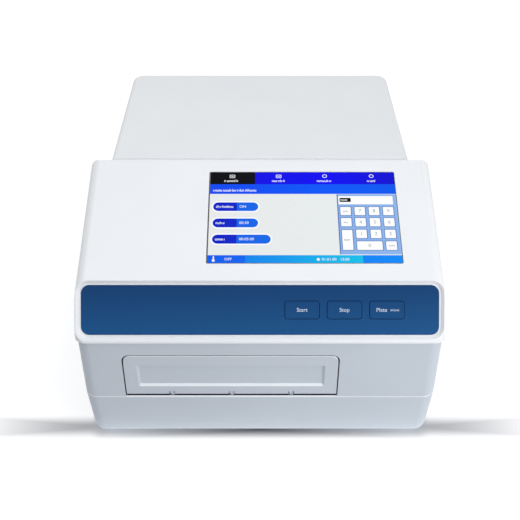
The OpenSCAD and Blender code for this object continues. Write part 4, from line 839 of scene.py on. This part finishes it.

# a painted shadow: a dark line in the floor's own colour along the front edge, beside the case's real
# shadow, darkest under the middle, and running out past both sides
aside = addNode(tree, "ShaderNodeMath", {1: ground["frontLine"]}, {0: depth.outputs["Y"]}, operation="ADD")
aside = addNode(tree, "ShaderNodeMath", links={0: aside.outputs["Value"]}, operation="ABSOLUTE")
aside = addNode(tree, "ShaderNodeMapRange", {"From Max": ground["lineWidth"]},
                {"Value": aside.outputs["Value"]}, interpolation_type="SMOOTHSTEP")
middle = addNode(tree, "ShaderNodeMapRange", {"From Max": ground["darkReach"], "To Min": ground["darkLeast"]},
                 {"Value": across.outputs["X"]})
middle = addNode(tree, "ShaderNodeMath", links={0: middle.outputs["Result"], 1: aside.outputs["Result"]},
                 operation="MAXIMUM")
paintedShadowTone = blendColours(tree, middle.outputs["Value"], "#48484a", "#bebec0")
tree.links.new(paintedShadowTone, shader.inputs["Base Color"])
beyond = addNode(tree, "ShaderNodeMapRange", {"From Min": ground["lineFrom"], "From Max": ground["lineTo"]},
                 {"Value": across.outputs["X"]}, interpolation_type="SMOOTHSTEP")
clear = addNode(tree, "ShaderNodeMath", links={0: aside.outputs["Result"], 1: beyond.outputs["Result"]},
                operation="MAXIMUM")

# for the camera the floor is lifted to white, less so close to the case, where this paints shade over
# its real shadow, and not in the painted shadow line
near = addNode(tree, "ShaderNodeMapRange", {"From Max": ground["contact"], "To Max": ground["lift"]},
               {"Value": distance.outputs["Value"]}, interpolation_type="SMOOTHSTEP")
far = addNode(tree, "ShaderNodeMapRange", {"From Min": ground["farFrom"], "From Max": ground["farTo"],
              "To Max": ground["farLift"]}, {"Value": distance.outputs["Value"]})
lift = addNode(tree, "ShaderNodeMath", links={0: near.outputs["Result"], 1: clear.outputs["Value"]},
               operation="MULTIPLY")
lift = addNode(tree, "ShaderNodeMath", links={0: lift.outputs["Value"], 1: far.outputs["Result"]},
               operation="ADD")
lift = addNode(tree, "ShaderNodeMath", links={0: lift.outputs["Value"], 1: rays.outputs["Is Camera Ray"]},
               operation="MULTIPLY")
mirrored = addNode(tree, "ShaderNodeMath", operation="MAXIMUM",
                   links={0: rays.outputs["Is Glossy Ray"], 1: rays.outputs["Is Transmission Ray"]})
mirrored = addNode(tree, "ShaderNodeMath", {1: ground["mirrored"]}, {0: mirrored.outputs["Value"]},
                   operation="MULTIPLY")
lift = addNode(tree, "ShaderNodeMath", links={0: lift.outputs["Value"], 1: mirrored.outputs["Value"]},
               operation="ADD")

# the floor also gives off light to diffuse rays in a strip under and before the front edge, and this
# lights the lower front of the case beside the lamps and the world
bounce = addNode(tree, "ShaderNodeMapRange", {"From Max": ground["bounceReach"],
                 "To Min": ground["bounceStrength"], "To Max": 0.0}, {"Value": distance.outputs["Value"]})
ahead = addNode(tree, "ShaderNodeMapRange", {"From Min": ground["bounceFrom"],
                "From Max": ground["bounceFull"]}, {"Value": depth.outputs["Y"]})
bounce = addNode(tree, "ShaderNodeMath", links={0: bounce.outputs["Result"], 1: ahead.outputs["Result"]},
                 operation="MULTIPLY")
bounce = addNode(tree, "ShaderNodeMath", operation="MULTIPLY",
                 links={0: bounce.outputs["Value"], 1: rays.outputs["Is Diffuse Ray"]})
lift = addNode(tree, "ShaderNodeMath", links={0: lift.outputs["Value"], 1: bounce.outputs["Value"]},
               operation="ADD")
glow = addNode(tree, "ShaderNodeEmission", {"Color": (1, 1, 1, 1)}, {"Strength": lift.outputs["Value"]})
total = addNode(tree, "ShaderNodeAddShader", links={0: shader.outputs["BSDF"], 1: glow.outputs["Emission"]})
tree.links.new(total.outputs["Shader"], tree.nodes["Material Output"].inputs["Surface"])
floor.data.materials.append(stage)

studio = {"colour": (0.97, 0.985, 1.0, 1), "seen": 1.0, "lighting": 0.5}  # strengths
world = bpy.data.worlds.new("studio")
bpy.context.scene.world = world
world.use_nodes = True
sky = world.node_tree
background = sky.nodes["Background"]
background.inputs["Color"].default_value = studio["colour"]
rays = addNode(sky, "ShaderNodeLightPath")
seen = addNode(sky, "ShaderNodeMath", operation="MAXIMUM",
               links={0: rays.outputs["Is Camera Ray"], 1: rays.outputs["Is Glossy Ray"]})
seen = addNode(sky, "ShaderNodeMath", operation="MAXIMUM",
               links={0: seen.outputs["Value"], 1: rays.outputs["Is Transmission Ray"]})
power = addNode(sky, "ShaderNodeMapRange", {"To Min": studio["lighting"], "To Max": studio["seen"]},
                {"Value": seen.outputs["Value"]})
sky.links.new(power.outputs["Result"], background.inputs["Strength"])


def softBox(name, place, aim, size, power):
    light = bpy.data.lights.new(name, "AREA")
    light.shape, light.size, light.energy = "SQUARE", size, power
    lamp = bpy.data.objects.new(name, light)
    lamp.location = place
    lamp.rotation_euler = (Vector(aim) - Vector(place)).to_track_quat("-Z", "Y").to_euler()
    bpy.context.scene.collection.objects.link(lamp)


# each lamp's place and aim in metres, its size in metres and its power in watts
softBox("overhead", place=(0, 0.15, 1.6), aim=(0, 0, 0.12), size=1.5, power=6.1)
softBox("front top", place=(-0.15, -0.5, 1.05), aim=(0, 0, 0.12), size=0.9, power=2.6)
softBox("right front", place=(0.62, -0.68, 0.2), aim=(0, -0.15, 0.06), size=0.45, power=3.3)

view = {"height": 0.563, "back": -0.6515, "pitch": 53.0, "lens": 58.85}
cameraData = bpy.data.cameras.new("camera")
cameraData.lens, cameraData.sensor_width = view["lens"], 36.0
camera = bpy.data.objects.new("camera", cameraData)
camera.location = (0, view["back"], view["height"])
camera.rotation_euler = (radians(view["pitch"]), 0, 0)
bpy.context.scene.collection.objects.link(camera)
bpy.context.scene.camera = camera
bpy.context.scene.view_settings.view_transform = "Standard"
